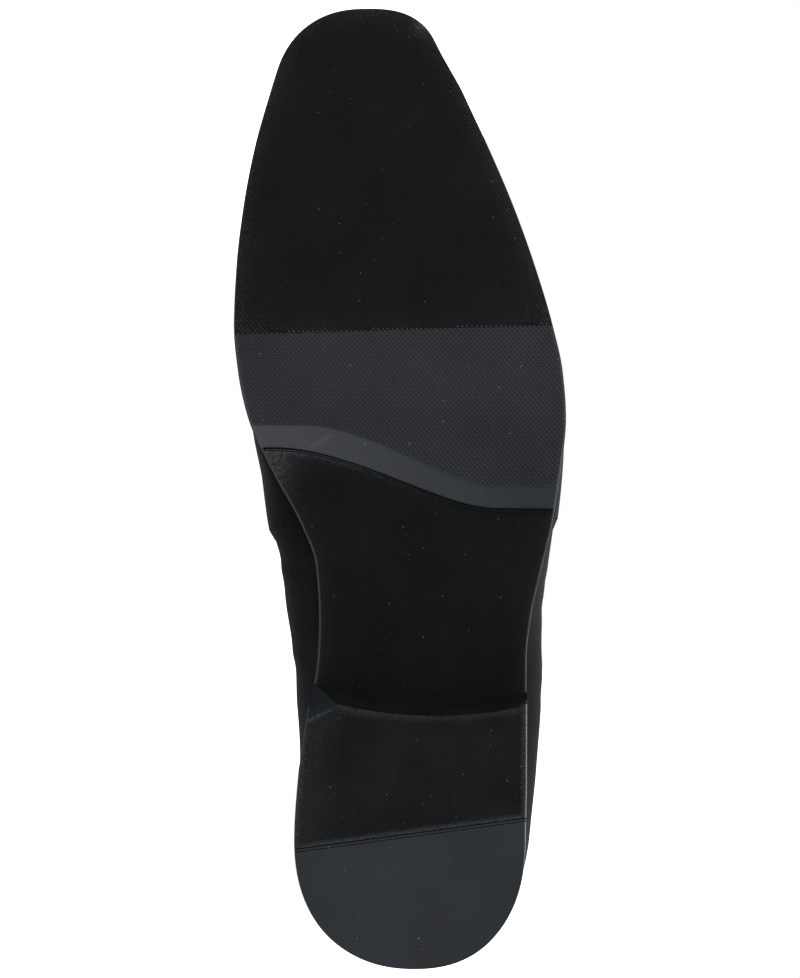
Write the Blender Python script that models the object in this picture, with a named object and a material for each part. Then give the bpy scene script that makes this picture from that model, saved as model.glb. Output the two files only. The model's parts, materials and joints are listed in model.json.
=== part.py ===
"""Velvet loafer for the left foot, lying on its inner side.

The shoe is modelled standing: +X runs from the heel to the toe, +Y to the outer side and +Z up from the
ground. An empty named shoe then lays it on its inner side, on the edge of its sole and the side of its upper.
All sizes are in metres.
"""

import math

import bmesh
import bpy
from mathutils import Matrix, Vector
from mathutils.bvhtree import BVHTree

# Sizes of the whole shoe
SOLE_LENGTH = 0.302
BALL_WIDTH = 0.102
INSTEP_HEIGHT = 0.068
COLLAR_HEIGHT = 0.056
HEEL_HEIGHT = 0.0235
TOE_SPRING = 0.009

# Sole pieces
OUTSOLE_THICK = 0.0042
OUTSOLE_BEVEL = 0.0011
TREAD_THICK = 0.0014
TREAD_RIM = 0.0005
LIFT_THICK = 0.0058
LIFT_BEVEL = 0.0007
HEEL_TAPER = 0.0004
INSOLE_THICK = 0.0030
INSOLE_EASE = 0.0009

# Upper pieces
WALL = 0.0019
VAMP_OVERLAP = 0.0011
SOLE_MARGIN = 0.0013
BINDING_THICK = 0.0008
BINDING_DEPTH = 0.0036

# Gap between pieces that touch
CLEARANCE = 0.0003

# Places along the shoe, as shares of its length from the back of the heel
THROAT_SHARE = 0.512
SIDE_SEAM_SHARE = 0.4565
HEEL_POLE_SHARE = 0.135
TOE_POLE_SHARE = 0.915
BREAST_INNER_SHARE = 0.2834
BREAST_OUTER_SHARE = 0.2750
TREAD_EDGE_INNER_SHARE = 0.5417
TREAD_EDGE_OUTER_SHARE = 0.4755
TIP_JOINT_INNER_SHARE = 0.1245
TIP_JOINT_OUTER_SHARE = 0.1577

# Where the tread's S-shaped edge bends, as shares of the width there
TREAD_BEND_START = 0.04
TREAD_BEND_END = 0.86

# Round ends of the outline: their depth and how square they are
HEEL_ROUND_DEPTH = 0.041
HEEL_SQUARENESS = 2.25
TOE_ROUND_DEPTH = 0.021
TOE_SQUARENESS = 2.55

# Heel breast: how far it bows in, how far it slopes, and the cut at its inner corner
BREAST_BOW = 0.0044
BREAST_SLOPE = 0.0032
CORNER_CUT_ALONG = 0.0126
CORNER_CUT_ACROSS = 0.0128

# Sole outline: distance of each edge from the axis, as a share of BALL_WIDTH
OUTLINE = {
    "share": (0.0, 0.045, 0.133, 0.20, 0.26, 0.32, 0.3625, 0.4175, 0.459, 0.5125, 0.571,
              0.618, 0.665, 0.727, 0.790, 0.852, 0.908, 0.965, 1.0),
    "inner": (0.344, 0.355, 0.358, 0.346, 0.319, 0.288, 0.283, 0.292, 0.335, 0.4195, 0.4995,
              0.530, 0.543, 0.536, 0.5155, 0.482, 0.4375, 0.3865, 0.3525),
    "outer": (0.370, 0.361, 0.358, 0.361, 0.361, 0.361, 0.373, 0.407, 0.435, 0.460, 0.477,
              0.467, 0.437, 0.3825, 0.316, 0.2385, 0.1625, 0.0895, 0.087),
}

# Underside of the outsole: rise towards the heel as a share of the heel's height, rise towards the toe as a
# share of the toe spring
PROFILE = {
    "share": (0.0, 0.14, 0.28, 0.39, 0.49, 0.575, 0.70, 0.80, 0.90, 1.0),
    "to_heel": (1.0, 0.955, 0.845, 0.52, 0.175, 0.0, 0.0, 0.0, 0.0, 0.0),
    "to_toe": (0.0, 0.0, 0.0, 0.0, 0.0, 0.0, 0.0, 0.16, 0.50, 1.0),
}

# Sections of the upper. Overhang: how far its widest line stands outside the sole's edge, as a share of
# BALL_WIDTH. Widest: height of that line above the sole. Crown: height of the instep line. Both are shares of
# INSTEP_HEIGHT. Side: how far the instep line lies off the axis, as a share of BALL_WIDTH. Lean: roundness of
# the section above its widest line.
SECTIONS = {
    "share": (0.0, 0.10, 0.20, 0.30, 0.39, 0.46, 0.52, 0.58, 0.64, 0.72, 0.80, 0.88, 0.96, 1.0),
    "overhang_inner": (0.004, -0.009, 0.006, 0.071, 0.115, 0.102, 0.031, -0.016, -0.026, -0.027,
                       -0.023, -0.020, -0.019, -0.019),
    "overhang_outer": (0.004, 0.017, 0.040, 0.058, 0.036, 0.014, 0.002, -0.014, -0.021, -0.022,
                       -0.020, -0.019, -0.019, -0.019),
    "widest": (0.30, 0.30, 0.30, 0.33, 0.36, 0.34, 0.29, 0.24, 0.20, 0.17, 0.155, 0.145, 0.135, 0.13),
    "crown": (1.36, 1.34, 1.28, 1.20, 1.13, 1.06, 0.975, 0.855, 0.735, 0.610, 0.510, 0.430, 0.375, 0.36),
    "side": (0.0, 0.0, 0.0, -0.005, -0.015, -0.028, -0.040, -0.052, -0.062, -0.078, -0.095, -0.118,
             -0.140, -0.150),
    "lean": (1.55, 1.50, 1.35, 1.25, 1.30, 1.50, 1.70, 1.90, 2.05, 2.20, 2.35, 2.45, 2.50, 2.50),
}

# Topline, from the back of the collar to the throat: height of the quarters above the sole as a share of
# COLLAR_HEIGHT, and how far it has climbed from there to the instep line
TOPLINE = {
    "share": (0.0, 0.12, 0.27, 0.43, 0.59, 0.72, 0.84, 0.94, 1.0),
    "quarter": (1.0, 0.975, 0.875, 0.765, 0.705, 0.71, 0.75, 0.80, 0.84),
    "climb": (0.0, 0.0, 0.0, 0.0, 0.0, 0.02, 0.20, 0.58, 1.0),
}

# How finely the shoe is divided
HEEL_STEPS = 7
QUARTER_STEPS = 9
THROAT_STEPS = 8
VAMP_STEPS = 13
TOE_STEPS = 7
LOW_ROWS = 3
HIGH_ROWS = 12
BREAST_STEPS = 8
EDGE_STEPS = 20
BINDING_STEPS = 3

CROWN_ROUNDNESS = 2.0
SEAM_WIDTH = 0.0012
THROAT_REACH_SHARE = 0.05
SEAM_LEAD_SHARE = 0.010
SEAM_APPROACH_SHARES = (0.020, 0.006)
SEAM_LEAVE_SHARE = 0.002
VAMP_START_SHARES = (0.004, 0.013)
CORNER_REACH_SHARE = 0.03
OUTLINE_STEP_SHARE = 0.001
HEEL_SIDE_STEPS = 5
CUTTER_REACH = 0.02


def start_clean():
    """Removes what a new Blender file holds."""
    for obj in list(bpy.data.objects):
        bpy.data.objects.remove(obj)


def smooth(table, column, share):
    """Reads a column of a table at a share of the length, on a curve that never overshoots its rows."""
    xs, ys = table["share"], table[column]
    share = min(max(share, xs[0]), xs[-1])
    i = max(k for k in range(len(xs) - 1) if xs[k] <= share)
    slopes = [(ys[k + 1] - ys[k]) / (xs[k + 1] - xs[k]) for k in range(len(xs) - 1)]

    def tangent(k):
        if k == 0:
            return slopes[0]
        if k == len(xs) - 1:
            return slopes[-1]
        before, after = slopes[k - 1], slopes[k]
        if before * after <= 0:
            return 0.0
        near, far = xs[k + 1] - xs[k], xs[k] - xs[k - 1]
        return 3 * (near + far) / ((2 * near + far) / before + (near + 2 * far) / after)

    width = xs[i + 1] - xs[i]
    u = (share - xs[i]) / width
    return (
        ys[i] * (1 + 2 * u) * (1 - u) ** 2
        + tangent(i) * width * u * (1 - u) ** 2
        + ys[i + 1] * u * u * (3 - 2 * u)
        + tangent(i + 1) * width * u * u * (u - 1)
    )


def rounded(distance, depth, squareness):
    """How wide a round end is, from 0 at its tip to 1 at its depth."""
    left = max(0.0, 1 - distance / depth)
    return max(0.0, 1 - left**squareness) ** (1 / squareness)


def edge_point(share, side):
    """Point of the sole's outline. Side is -1 on the inner edge and 1 on the outer one."""
    inner = -BALL_WIDTH * smooth(OUTLINE, "inner", share)
    outer = BALL_WIDTH * smooth(OUTLINE, "outer", share)
    x = share * SOLE_LENGTH
    half = (outer - inner) / 2
    half *= rounded(x, HEEL_ROUND_DEPTH, HEEL_SQUARENESS)
    half *= rounded(SOLE_LENGTH - x, TOE_ROUND_DEPTH, TOE_SQUARENESS)
    return Vector((x, (inner + outer) / 2 + side * half))


def underside(x):
    """Height of the outsole's underside above the ground."""
    share = x / SOLE_LENGTH
    ground = TREAD_THICK + CLEARANCE
    to_heel = smooth(PROFILE, "to_heel", share)
    return ground + (HEEL_HEIGHT - ground) * to_heel + TOE_SPRING * smooth(PROFILE, "to_toe", share)


def seat(x):
    """Height of the outsole's top, which the upper and the insole rest on."""
    return underside(x) + OUTSOLE_THICK


def heel_shares():
    """Shares that divide the round back of the heel evenly."""
    turn = [math.pi / 2 * k / HEEL_STEPS for k in range(HEEL_STEPS + 1)]
    depth = HEEL_ROUND_DEPTH / SOLE_LENGTH
    return [depth * (1 - math.cos(a) ** (2 / HEEL_SQUARENESS)) for a in turn]


def toe_shares():
    """Shares that divide the round toe evenly, back to front."""
    turn = [math.pi / 2 * k / TOE_STEPS for k in range(TOE_STEPS + 1)]
    depth = TOE_ROUND_DEPTH / SOLE_LENGTH
    return [1 - depth * (1 - math.cos(a) ** (2 / TOE_SQUARENESS)) for a in reversed(turn)]


def between(low, high, steps):
    """Even shares from low to high, without the ends."""
    return [low + (high - low) * k / steps for k in range(1, steps)]


def stations():
    """Shares of the length where the shoe is divided, from the back of the heel to the tip of the toe."""
    heel, toe = heel_shares(), toe_shares()
    seam = [SIDE_SEAM_SHARE - SEAM_WIDTH / 2 / SOLE_LENGTH, SIDE_SEAM_SHARE + SEAM_WIDTH / 2 / SOLE_LENGTH]
    throat = [THROAT_SHARE - THROAT_REACH_SHARE * (k / THROAT_STEPS) ** 2 for k in range(THROAT_STEPS - 1, -1, -1)]
    approach = [seam[0] - step for step in SEAM_APPROACH_SHARES]
    before_seam = between(heel[-1], approach[0], QUARTER_STEPS) + approach
    vamp = [THROAT_SHARE + step for step in VAMP_START_SHARES]
    vamp += between(vamp[-1], toe[0], VAMP_STEPS)
    after_seam = [share for share in throat if share > seam[1] + SEAM_LEAVE_SHARE]
    return heel + before_seam + seam + after_seam + vamp + toe


def ring(inset):
    """Points round the sole's outline, moved in by inset: the back, the outer edge, the toe, the inner edge."""
    shares = stations()
    outer = [edge_point(share, 1) for share in shares]
    inner = [edge_point(share, -1) for share in shares[1:-1]]
    points = outer + inner[::-1]
    moved = []
    for k, point in enumerate(points):
        along = points[(k + 1) % len(points)] - points[k - 1]
        out = Vector((-along.y, along.x)).normalized()
        moved.append(point - out * inset)
    return moved


def partner(k, count):
    """Index of the ring's point across the shoe from point k."""
    return (count - k) % count


def mesh_object(name, bm, material, smooth_angle=35):
    """Makes an object of a bmesh, shaded smooth up to an angle."""
    mesh = bpy.data.meshes.new(name)
    bmesh.ops.recalc_face_normals(bm, faces=bm.faces[:])
    bm.to_mesh(mesh)
    bm.free()
    mesh.shade_smooth()
    mesh.set_sharp_from_angle(angle=math.radians(smooth_angle))
    mesh.materials.append(material)
    obj = bpy.data.objects.new(name, mesh)
    bpy.context.scene.collection.objects.link(obj)
    return obj


def finish(name, colour, roughness, sheen=0.0):
    """Makes a plain material."""
    material = bpy.data.materials.new(name)
    material.use_nodes = True
    shader = material.node_tree.nodes["Principled BSDF"]
    shader.inputs["Base Color"].default_value = (*colour, 1.0)
    shader.inputs["Roughness"].default_value = roughness
    shader.inputs["Metallic"].default_value = 0.0
    shader.inputs["Sheen Weight"].default_value = sheen
    return material


def loft(bm, rings):
    """Joins closed rings of points with quads and returns the rings of vertices."""
    made = [[bm.verts.new(point) for point in points] for points in rings]
    for low, high in zip(made, made[1:]):
        count = len(low)
        for k in range(count):
            after = (k + 1) % count
            bm.faces.new((low[k], low[after], high[after], high[k]))
    return made


def close_across(bm, verts):
    """Closes a ring of vertices with quads that run straight across the shoe."""
    count = len(verts)
    bm.faces.new((verts[0], verts[1], verts[count - 1]))
    for k in range(1, count // 2 - 1):
        bm.faces.new((verts[k], verts[k + 1], verts[partner(k + 1, count)], verts[partner(k, count)]))
    middle = count // 2
    bm.faces.new((verts[middle - 1], verts[middle], verts[middle + 1]))


def plate(name, layers, material):
    """Makes a plate that follows the sole: a row of (inset, height function, offset) from bottom to top."""
    bm = bmesh.new()
    rings = []
    for inset, height, offset in layers:
        rings.append([(p.x, p.y, height(p.x) + offset) for p in ring(inset)])
    made = loft(bm, rings)
    close_across(bm, made[0])
    close_across(bm, made[-1])
    return mesh_object(name, bm, material)


def cut_with(obj, cutter):
    """Cuts another object, which is hidden, out of an object."""
    cutter.hide_render = True
    cutter.display_type = "WIRE"
    boolean = obj.modifiers.new(f"cut by {cutter.name}", "BOOLEAN")
    boolean.operation = "DIFFERENCE"
    boolean.object = cutter
    boolean.solver = "EXACT"


def make_outsole(material):
    """Full-length outsole with a bevel round its lower edge."""
    return plate(
        "outsole",
        [
            (OUTSOLE_BEVEL, underside, 0.0),
            (0.0, underside, OUTSOLE_BEVEL),
            (0.0, seat, -OUTSOLE_BEVEL / 2),
            (OUTSOLE_BEVEL / 2, seat, 0.0),
        ],
        material,
    )


def make_insole(material):
    """Insole inside the upper."""
    inset = SOLE_MARGIN + WALL + CLEARANCE + INSOLE_EASE
    return plate(
        "insole",
        [(inset, seat, CLEARANCE), (inset, seat, CLEARANCE + INSOLE_THICK)],
        material,
    )


def tread_edge(across):
    """Where the forepart tread ends, from 0 on the inner edge to 1 on the outer edge, as an S curve."""
    turn = min(max((across - TREAD_BEND_START) / (TREAD_BEND_END - TREAD_BEND_START), 0.0), 1.0)
    bend = turn * turn * (3 - 2 * turn)
    return SOLE_LENGTH * (TREAD_EDGE_INNER_SHARE + (TREAD_EDGE_OUTER_SHARE - TREAD_EDGE_INNER_SHARE) * bend)


def make_tread(material):
    """Forepart tread, which ends at the waist in an S-shaped step."""
    tread = plate(
        "forepart_tread",
        [
            (TREAD_RIM + LIFT_BEVEL, underside, -CLEARANCE - TREAD_THICK),
            (TREAD_RIM, underside, -CLEARANCE - TREAD_THICK + LIFT_BEVEL),
            (TREAD_RIM, underside, -CLEARANCE),
        ],
        material,
    )
    inner = edge_point(TREAD_EDGE_INNER_SHARE, -1).y
    outer = edge_point(TREAD_EDGE_OUTER_SHARE, 1).y
    outline = [(-CUTTER_REACH, -BALL_WIDTH), (tread_edge(0), -BALL_WIDTH)]
    for k in range(EDGE_STEPS + 1):
        outline.append((tread_edge(k / EDGE_STEPS), inner + (outer - inner) * k / EDGE_STEPS))
    outline += [(tread_edge(1), BALL_WIDTH), (-CUTTER_REACH, BALL_WIDTH)]
    bm = bmesh.new()
    top = HEEL_HEIGHT + CUTTER_REACH
    made = loft(bm, [[(x, y, z) for x, y in outline] for z in (-CUTTER_REACH, top)])
    bm.faces.new(made[0])
    bm.faces.new(made[1])
    cut_with(tread, mesh_object("waist_cutter", bm, material))
    return tread


def heel_outline(inset, forward):
    """Plan of the heel: its two sides and the bowed breast, moved forward as the breast slopes."""
    ends = {1: BREAST_OUTER_SHARE + forward / SOLE_LENGTH, -1: BREAST_INNER_SHARE + forward / SOLE_LENGTH}

    def side_points(side):
        back = heel_shares()[1:-1]
        shares = back + between(back[-1], ends[side], HEEL_SIDE_STEPS) + [ends[side]]
        points = []
        for share in shares:
            point = edge_point(share, side)
            along = edge_point(share + OUTLINE_STEP_SHARE, side) - edge_point(share - OUTLINE_STEP_SHARE, side)
            out = Vector((-along.y, along.x)).normalized() * side
            points.append(point - out * inset)
        return points

    outer, inner = side_points(1), side_points(-1)
    breast = []
    for k in range(1, BREAST_STEPS):
        u = k / BREAST_STEPS
        point = outer[-1].lerp(inner[-1], u)
        breast.append(point - Vector((BREAST_BOW * 4 * u * (1 - u), 0)))
    back = edge_point(0.0, 1) + Vector((inset, 0))
    return [back] + outer + breast + inner[::-1]


def heel_forward(z):
    """How far forward of its lower edge the breast stands at a height."""
    return BREAST_SLOPE * z / HEEL_HEIGHT


def cut_plane(bm, point, normal):
    """Removes what lies on the side that the normal points to, and closes the cut."""
    cut = bmesh.ops.bisect_plane(
        bm,
        geom=bm.verts[:] + bm.edges[:] + bm.faces[:],
        dist=1e-7,
        plane_co=point,
        plane_no=normal,
        clear_outer=True,
    )
    edges = [e for e in cut["geom_cut"] if isinstance(e, bmesh.types.BMEdge)]
    bmesh.ops.contextual_create(bm, geom=edges)


def corner_cut():
    """Plane of the cut at the inner front corner of the heel: a point on it and its normal."""
    corner = edge_point(BREAST_INNER_SHARE, -1)
    top = edge_point(BREAST_INNER_SHARE + BREAST_SLOPE / SOLE_LENGTH, -1)
    high = Vector((top.x, top.y, underside(top.x)))
    back = Vector((corner.x - CORNER_CUT_ALONG, edge_point(BREAST_INNER_SHARE - CORNER_REACH_SHARE, -1).y, 0.0))
    side = Vector((corner.x, corner.y + CORNER_CUT_ACROSS, 0.0))
    normal = (back - high).cross(side - high).normalized()
    if normal.x < 0:
        normal.negate()
    return high, normal


def heel_solid(levels):
    """Heel between levels, each an inset and a height."""
    bm = bmesh.new()
    rings = []
    for inset, z in levels:
        rings.append([(p.x, p.y, z) for p in heel_outline(inset, heel_forward(z))])
    made = loft(bm, rings)
    bm.faces.new(made[0])
    bm.faces.new(made[-1])
    bmesh.ops.recalc_face_normals(bm, faces=bm.faces[:])
    cut_plane(bm, *corner_cut())
    return bm


def tip_joint():
    """Line of the joint between the top lift and the rear tip: a point on it and its normal, towards the toe."""
    inner = edge_point(TIP_JOINT_INNER_SHARE, -1)
    outer = edge_point(TIP_JOINT_OUTER_SHARE, 1)
    along = outer - inner
    return Vector((inner.x, inner.y, 0.0)), Vector((along.y, -along.x, 0.0)).normalized()


def make_heel(heel_material, lift_material, tip_material):
    """Heel block under the outsole, with a top lift in front and a rubber tip behind."""
    block = mesh_object(
        "heel_block",
        heel_solid([(HEEL_TAPER, LIFT_THICK + CLEARANCE), (0.0, HEEL_HEIGHT + CUTTER_REACH)]),
        heel_material,
    )
    bm = bmesh.new()
    rings = []
    for height in (-CLEARANCE, 2 * CUTTER_REACH):
        rings.append([(p.x, p.y, underside(p.x) + height) for p in ring(-CUTTER_REACH / 4)])
    made = loft(bm, rings)
    close_across(bm, made[0])
    close_across(bm, made[1])
    cut_with(block, mesh_object("seat_cutter", bm, heel_material))

    levels = [(LIFT_BEVEL, 0.0), (HEEL_TAPER, LIFT_BEVEL), (HEEL_TAPER, LIFT_THICK)]
    point, forward = tip_joint()
    if forward.x < 0:
        forward.negate()
    lift = heel_solid(levels)
    cut_plane(lift, point + forward * CLEARANCE / 2, -forward)
    tip = heel_solid(levels)
    cut_plane(tip, point - forward * CLEARANCE / 2, forward)
    return [
        block,
        mesh_object("top_lift", lift, lift_material),
        mesh_object("heel_tip", tip, tip_material),
    ]


def topline(share):
    """Height of the upper's edge above the sole."""
    climb = smooth(TOPLINE, "climb", share / THROAT_SHARE)
    quarter = COLLAR_HEIGHT * smooth(TOPLINE, "quarter", share / THROAT_SHARE)
    return quarter + (INSTEP_HEIGHT * smooth(SECTIONS, "crown", share) - quarter) * climb


def column(point, out, side):
    """Section of the upper's inner surface above one point of the outline, from the sole to its edge."""
    share = point.x / SOLE_LENGTH
    blend = (side + 1) / 2
    overhang = BALL_WIDTH * (
        smooth(SECTIONS, "overhang_outer", share) * blend
        + smooth(SECTIONS, "overhang_inner", share) * (1 - blend)
    )
    foot = point - out * (SOLE_MARGIN + WALL)
    widest = point + out * (overhang - WALL)
    pole = min(max(share, HEEL_POLE_SHARE), TOE_POLE_SHARE)
    crown = Vector((pole * SOLE_LENGTH, BALL_WIDTH * smooth(SECTIONS, "side", pole)))
    crown_z = seat(crown.x) + INSTEP_HEIGHT * smooth(SECTIONS, "crown", pole)
    foot_z = seat(foot.x) + CLEARANCE
    widest_z = foot_z + INSTEP_HEIGHT * smooth(SECTIONS, "widest", share)
    lean = smooth(SECTIONS, "lean", share)

    def low(u):
        plan = foot + (widest - foot) * math.sin(math.pi / 2 * u)
        return Vector((plan.x, plan.y, foot_z + (widest_z - foot_z) * u))

    def high(turn):
        plan = crown + (widest - crown) * max(0.0, math.cos(turn)) ** (2 / CROWN_ROUNDNESS)
        return Vector((plan.x, plan.y, widest_z + (crown_z - widest_z) * math.sin(turn) ** (2 / lean)))

    end = math.pi / 2
    if share < THROAT_SHARE - 1e-6:
        start = 0.0
        for _ in range(40):
            middle = (start + end) / 2
            p = high(middle)
            if p.z < seat(p.x) + topline(p.x / SOLE_LENGTH):
                start = middle
            else:
                end = middle
    points = [low(k / LOW_ROWS) for k in range(LOW_ROWS)]
    points += [high(end * k / HIGH_ROWS) for k in range(HIGH_ROWS + 1)]
    return points


def upper_columns():
    """Columns of the upper's inner surface round the whole outline, with the ones that reach the instep line."""
    plan = ring(0.0)
    count = len(plan)
    columns = []
    for k, point in enumerate(plan):
        along = plan[(k + 1) % count] - plan[k - 1]
        out = Vector((-along.y, along.x)).normalized()
        side = 0 if k in (0, count // 2) else (1 if k < count // 2 else -1)
        columns.append(column(point, out, side))
    closed = [point.x / SOLE_LENGTH > THROAT_SHARE - 1e-6 for point in plan]
    return columns, closed


def upper_sheet(bm, columns, closed):
    """Builds the inner surface of the upper, facing out, and returns its grid of vertices."""
    count = len(columns)
    poles = {}
    grid = []
    for k, points in enumerate(columns):
        verts = [bm.verts.new(point) for point in points[:-1]]
        last = points[-1]
        if closed[k]:
            key = (round(last.x, 7), round(last.y, 7))
            if key not in poles:
                poles[key] = bm.verts.new(last)
            verts.append(poles[key])
        else:
            verts.append(bm.verts.new(last))
        grid.append(verts)
    for k in range(count):
        here, after = grid[k], grid[(k + 1) % count]
        for row in range(len(here) - 1):
            corners = [here[row + 1], after[row + 1], after[row], here[row]]
            if corners[0] is corners[1]:
                corners.pop(0)
            bm.faces.new(corners)
    return grid


def upper_grid(seam):
    """Inner face of the upper's wall as a bmesh, its grid of vertices, the outer face's points, and which
    columns reach the instep line. In front of the seam the wall is thicker by the vamp's overlap."""
    columns, closed = upper_columns()
    bm = bmesh.new()
    grid = upper_sheet(bm, columns, closed)
    bm.normal_update()
    outer = {}
    for k, verts in enumerate(grid):
        share = columns[k][0].x / SOLE_LENGTH
        thick = WALL + (VAMP_OVERLAP if share > seam else 0.0)
        for row, vert in enumerate(verts):
            if vert in outer:
                continue
            normal = vert.normal.copy()
            depth = thick
            if row == 0:
                normal.z = 0.0
                normal.normalize()
                depth = WALL
            outer[vert] = vert.co + normal * depth
            if row == 0:
                outer[vert].z = seat(outer[vert].x) + CLEARANCE
    return bm, grid, outer, closed


def make_upper(material):
    """Vamp and quarters as one hollow wall, open at the collar and underneath. The vamp laps over the quarters
    at the side seams, which shows as a step in the wall."""
    bm, grid, outer_points, closed = upper_grid(SIDE_SEAM_SHARE)
    inner_faces = bm.faces[:]
    outer = {vert: bm.verts.new(point) for vert, point in outer_points.items()}
    for face in inner_faces:
        bm.faces.new([outer[v] for v in reversed(face.verts)])
    count = len(grid)
    for k in range(count):
        here, after = grid[k][0], grid[(k + 1) % count][0]
        bm.faces.new((here, after, outer[after], outer[here]))
        here, after = grid[k][-1], grid[(k + 1) % count][-1]
        if here is not after and not (closed[k] and closed[(k + 1) % count]):
            bm.faces.new((here, after, outer[after], outer[here]))
    return mesh_object("upper", bm, material)


def collar_edge():
    """Points round the upper's edge, as pairs on its inner and outer face, with both faces to search. The outer
    face is thick from a little behind the side seams, so that the ribbon rides over the step there."""
    bm, grid, outer_points, closed = upper_grid(SIDE_SEAM_SHARE - SEAM_LEAD_SHARE)
    bm.verts.index_update()
    faces = [[v.index for v in face.verts] for face in bm.faces]
    inner_face = BVHTree.FromPolygons([v.co.copy() for v in bm.verts], faces)
    outer_face = BVHTree.FromPolygons([outer_points[v] for v in bm.verts], faces)
    count = len(grid)
    pairs = {}
    for k, verts in enumerate(grid):
        at_throat = closed[k] and not (closed[k - 1] and closed[(k + 1) % count])
        if at_throat or not closed[k]:
            pairs[verts[-1].index] = (verts[-1].co.copy(), outer_points[verts[-1]].copy())
    bm.free()
    return list(pairs.values()), inner_face, outer_face


def make_binding(material):
    """Ribbon folded over the upper's edge all round the collar."""
    edge, inner_face, outer_face = collar_edge()
    size = len(edge)
    over = sum((inside for inside, _ in edge), Vector()) / size + Vector((0.0, 0.0, COLLAR_HEIGHT))
    reach = CLEARANCE + BINDING_THICK
    sections = []
    for k, (inside, outside) in enumerate(edge):
        along = edge[(k + 1) % size][0] - edge[k - 1][0]
        up = (outside - inside).cross(along).normalized()
        if up.dot(over - inside) < 0:
            up.negate()
        rows = []
        for step in range(BINDING_STEPS + 1):
            down = up * BINDING_DEPTH * step / BINDING_STEPS
            low = inner_face.find_nearest(inside - down)[0]
            high = outer_face.find_nearest(outside - down)[0]
            rows.append((low, high, (high - low).normalized()))
        top = outside - inside
        section = [high + out * reach for _, high, out in reversed(rows)]
        section[-1] += up * CLEARANCE
        section += [outside + up * reach, inside + top * 0.5 + up * (reach + BINDING_THICK / 4), inside + up * reach]
        section += [low - out * reach for low, _, out in rows]
        section[BINDING_STEPS + 4] += up * CLEARANCE
        section += [low - out * CLEARANCE for low, _, out in reversed(rows)]
        section[-1] += up * CLEARANCE
        section += [high + out * CLEARANCE for _, high, out in rows]
        section[-BINDING_STEPS - 1] += up * CLEARANCE
        sections.append(section)
    bm = bmesh.new()
    made = loft(bm, sections + sections[:1])
    bmesh.ops.remove_doubles(bm, verts=made[0] + made[-1], dist=1e-7)
    return mesh_object("topline_binding", bm, material)


def lay_down(sole, upper):
    """Matrix that lays the shoe on its inner side: on its sole's edge at the ball and the heel, and its upper."""
    sole_points = [v.co for obj in sole for v in obj.data.vertices]
    front = [p for p in sole_points if p.x > SOLE_LENGTH * THROAT_SHARE]
    back = [p for p in sole_points if p.x < SOLE_LENGTH * BREAST_INNER_SHARE]
    side = [v.co for v in upper.data.vertices]
    down = Vector((0.0, -1.0, 0.0))
    for _ in range(30):
        a, b, c = (max(group, key=down.dot) for group in (front, back, side))
        down = (b - a).cross(c - a).normalized()
        if down.y > 0:
            down.negate()
    up = -down
    to_heel = Vector((-1.0, 0.0, 0.0))
    across = (to_heel - up * to_heel.dot(up)).normalized()
    turn = Matrix((across, up.cross(across), up)).to_4x4()
    return turn


def main():
    start_clean()
    rubber = finish("sole rubber", (0.018, 0.021, 0.024), 0.55)
    flock = finish("flocked tread", (0.008, 0.009, 0.008), 0.9, 0.3)
    smooth_rubber = finish("smooth rubber", (0.030, 0.036, 0.041), 0.45)
    velvet = finish("black velvet", (0.006, 0.006, 0.008), 0.9, 0.6)
    ribbon = finish("ribbed ribbon", (0.012, 0.012, 0.013), 0.6)
    leather = finish("sock leather", (0.03, 0.028, 0.027), 0.5)

    outsole = make_outsole(rubber)
    tread = make_tread(flock)
    heel = make_heel(rubber, flock, smooth_rubber)
    insole = make_insole(leather)
    upper = make_upper(velvet)
    binding = make_binding(ribbon)

    shoe = bpy.data.objects.new("shoe", None)
    bpy.context.scene.collection.objects.link(shoe)
    turn = lay_down([outsole, tread, heel[1], heel[2]], upper)
    pieces = [outsole, tread, *heel, insole, upper, binding]
    corners = [turn @ v.co for obj in pieces if obj is not heel[0] for v in obj.data.vertices]
    low = Vector([min(c[axis] for c in corners) for axis in range(3)])
    high = Vector([max(c[axis] for c in corners) for axis in range(3)])
    middle = (low + high) / 2
    shoe.matrix_world = Matrix.Translation((-middle.x, -middle.y, -low.z)) @ turn
    for obj in bpy.context.scene.objects:
        if obj is not shoe:
            obj.parent = shoe


main()
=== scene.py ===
"""Velvet loafer for the left foot: the looks of its sole, heel, upper and lining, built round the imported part.

Pieces are worked out in the shoe's own frame, with +X from the heel to the toe, +Y to the outer side and +Z up
from the ground, and are then laid on the shoe's inner side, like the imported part. All sizes are in metres.
"""

import json
import math

import bmesh
import bpy
import numpy as np
from mathutils import Matrix, Vector


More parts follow.
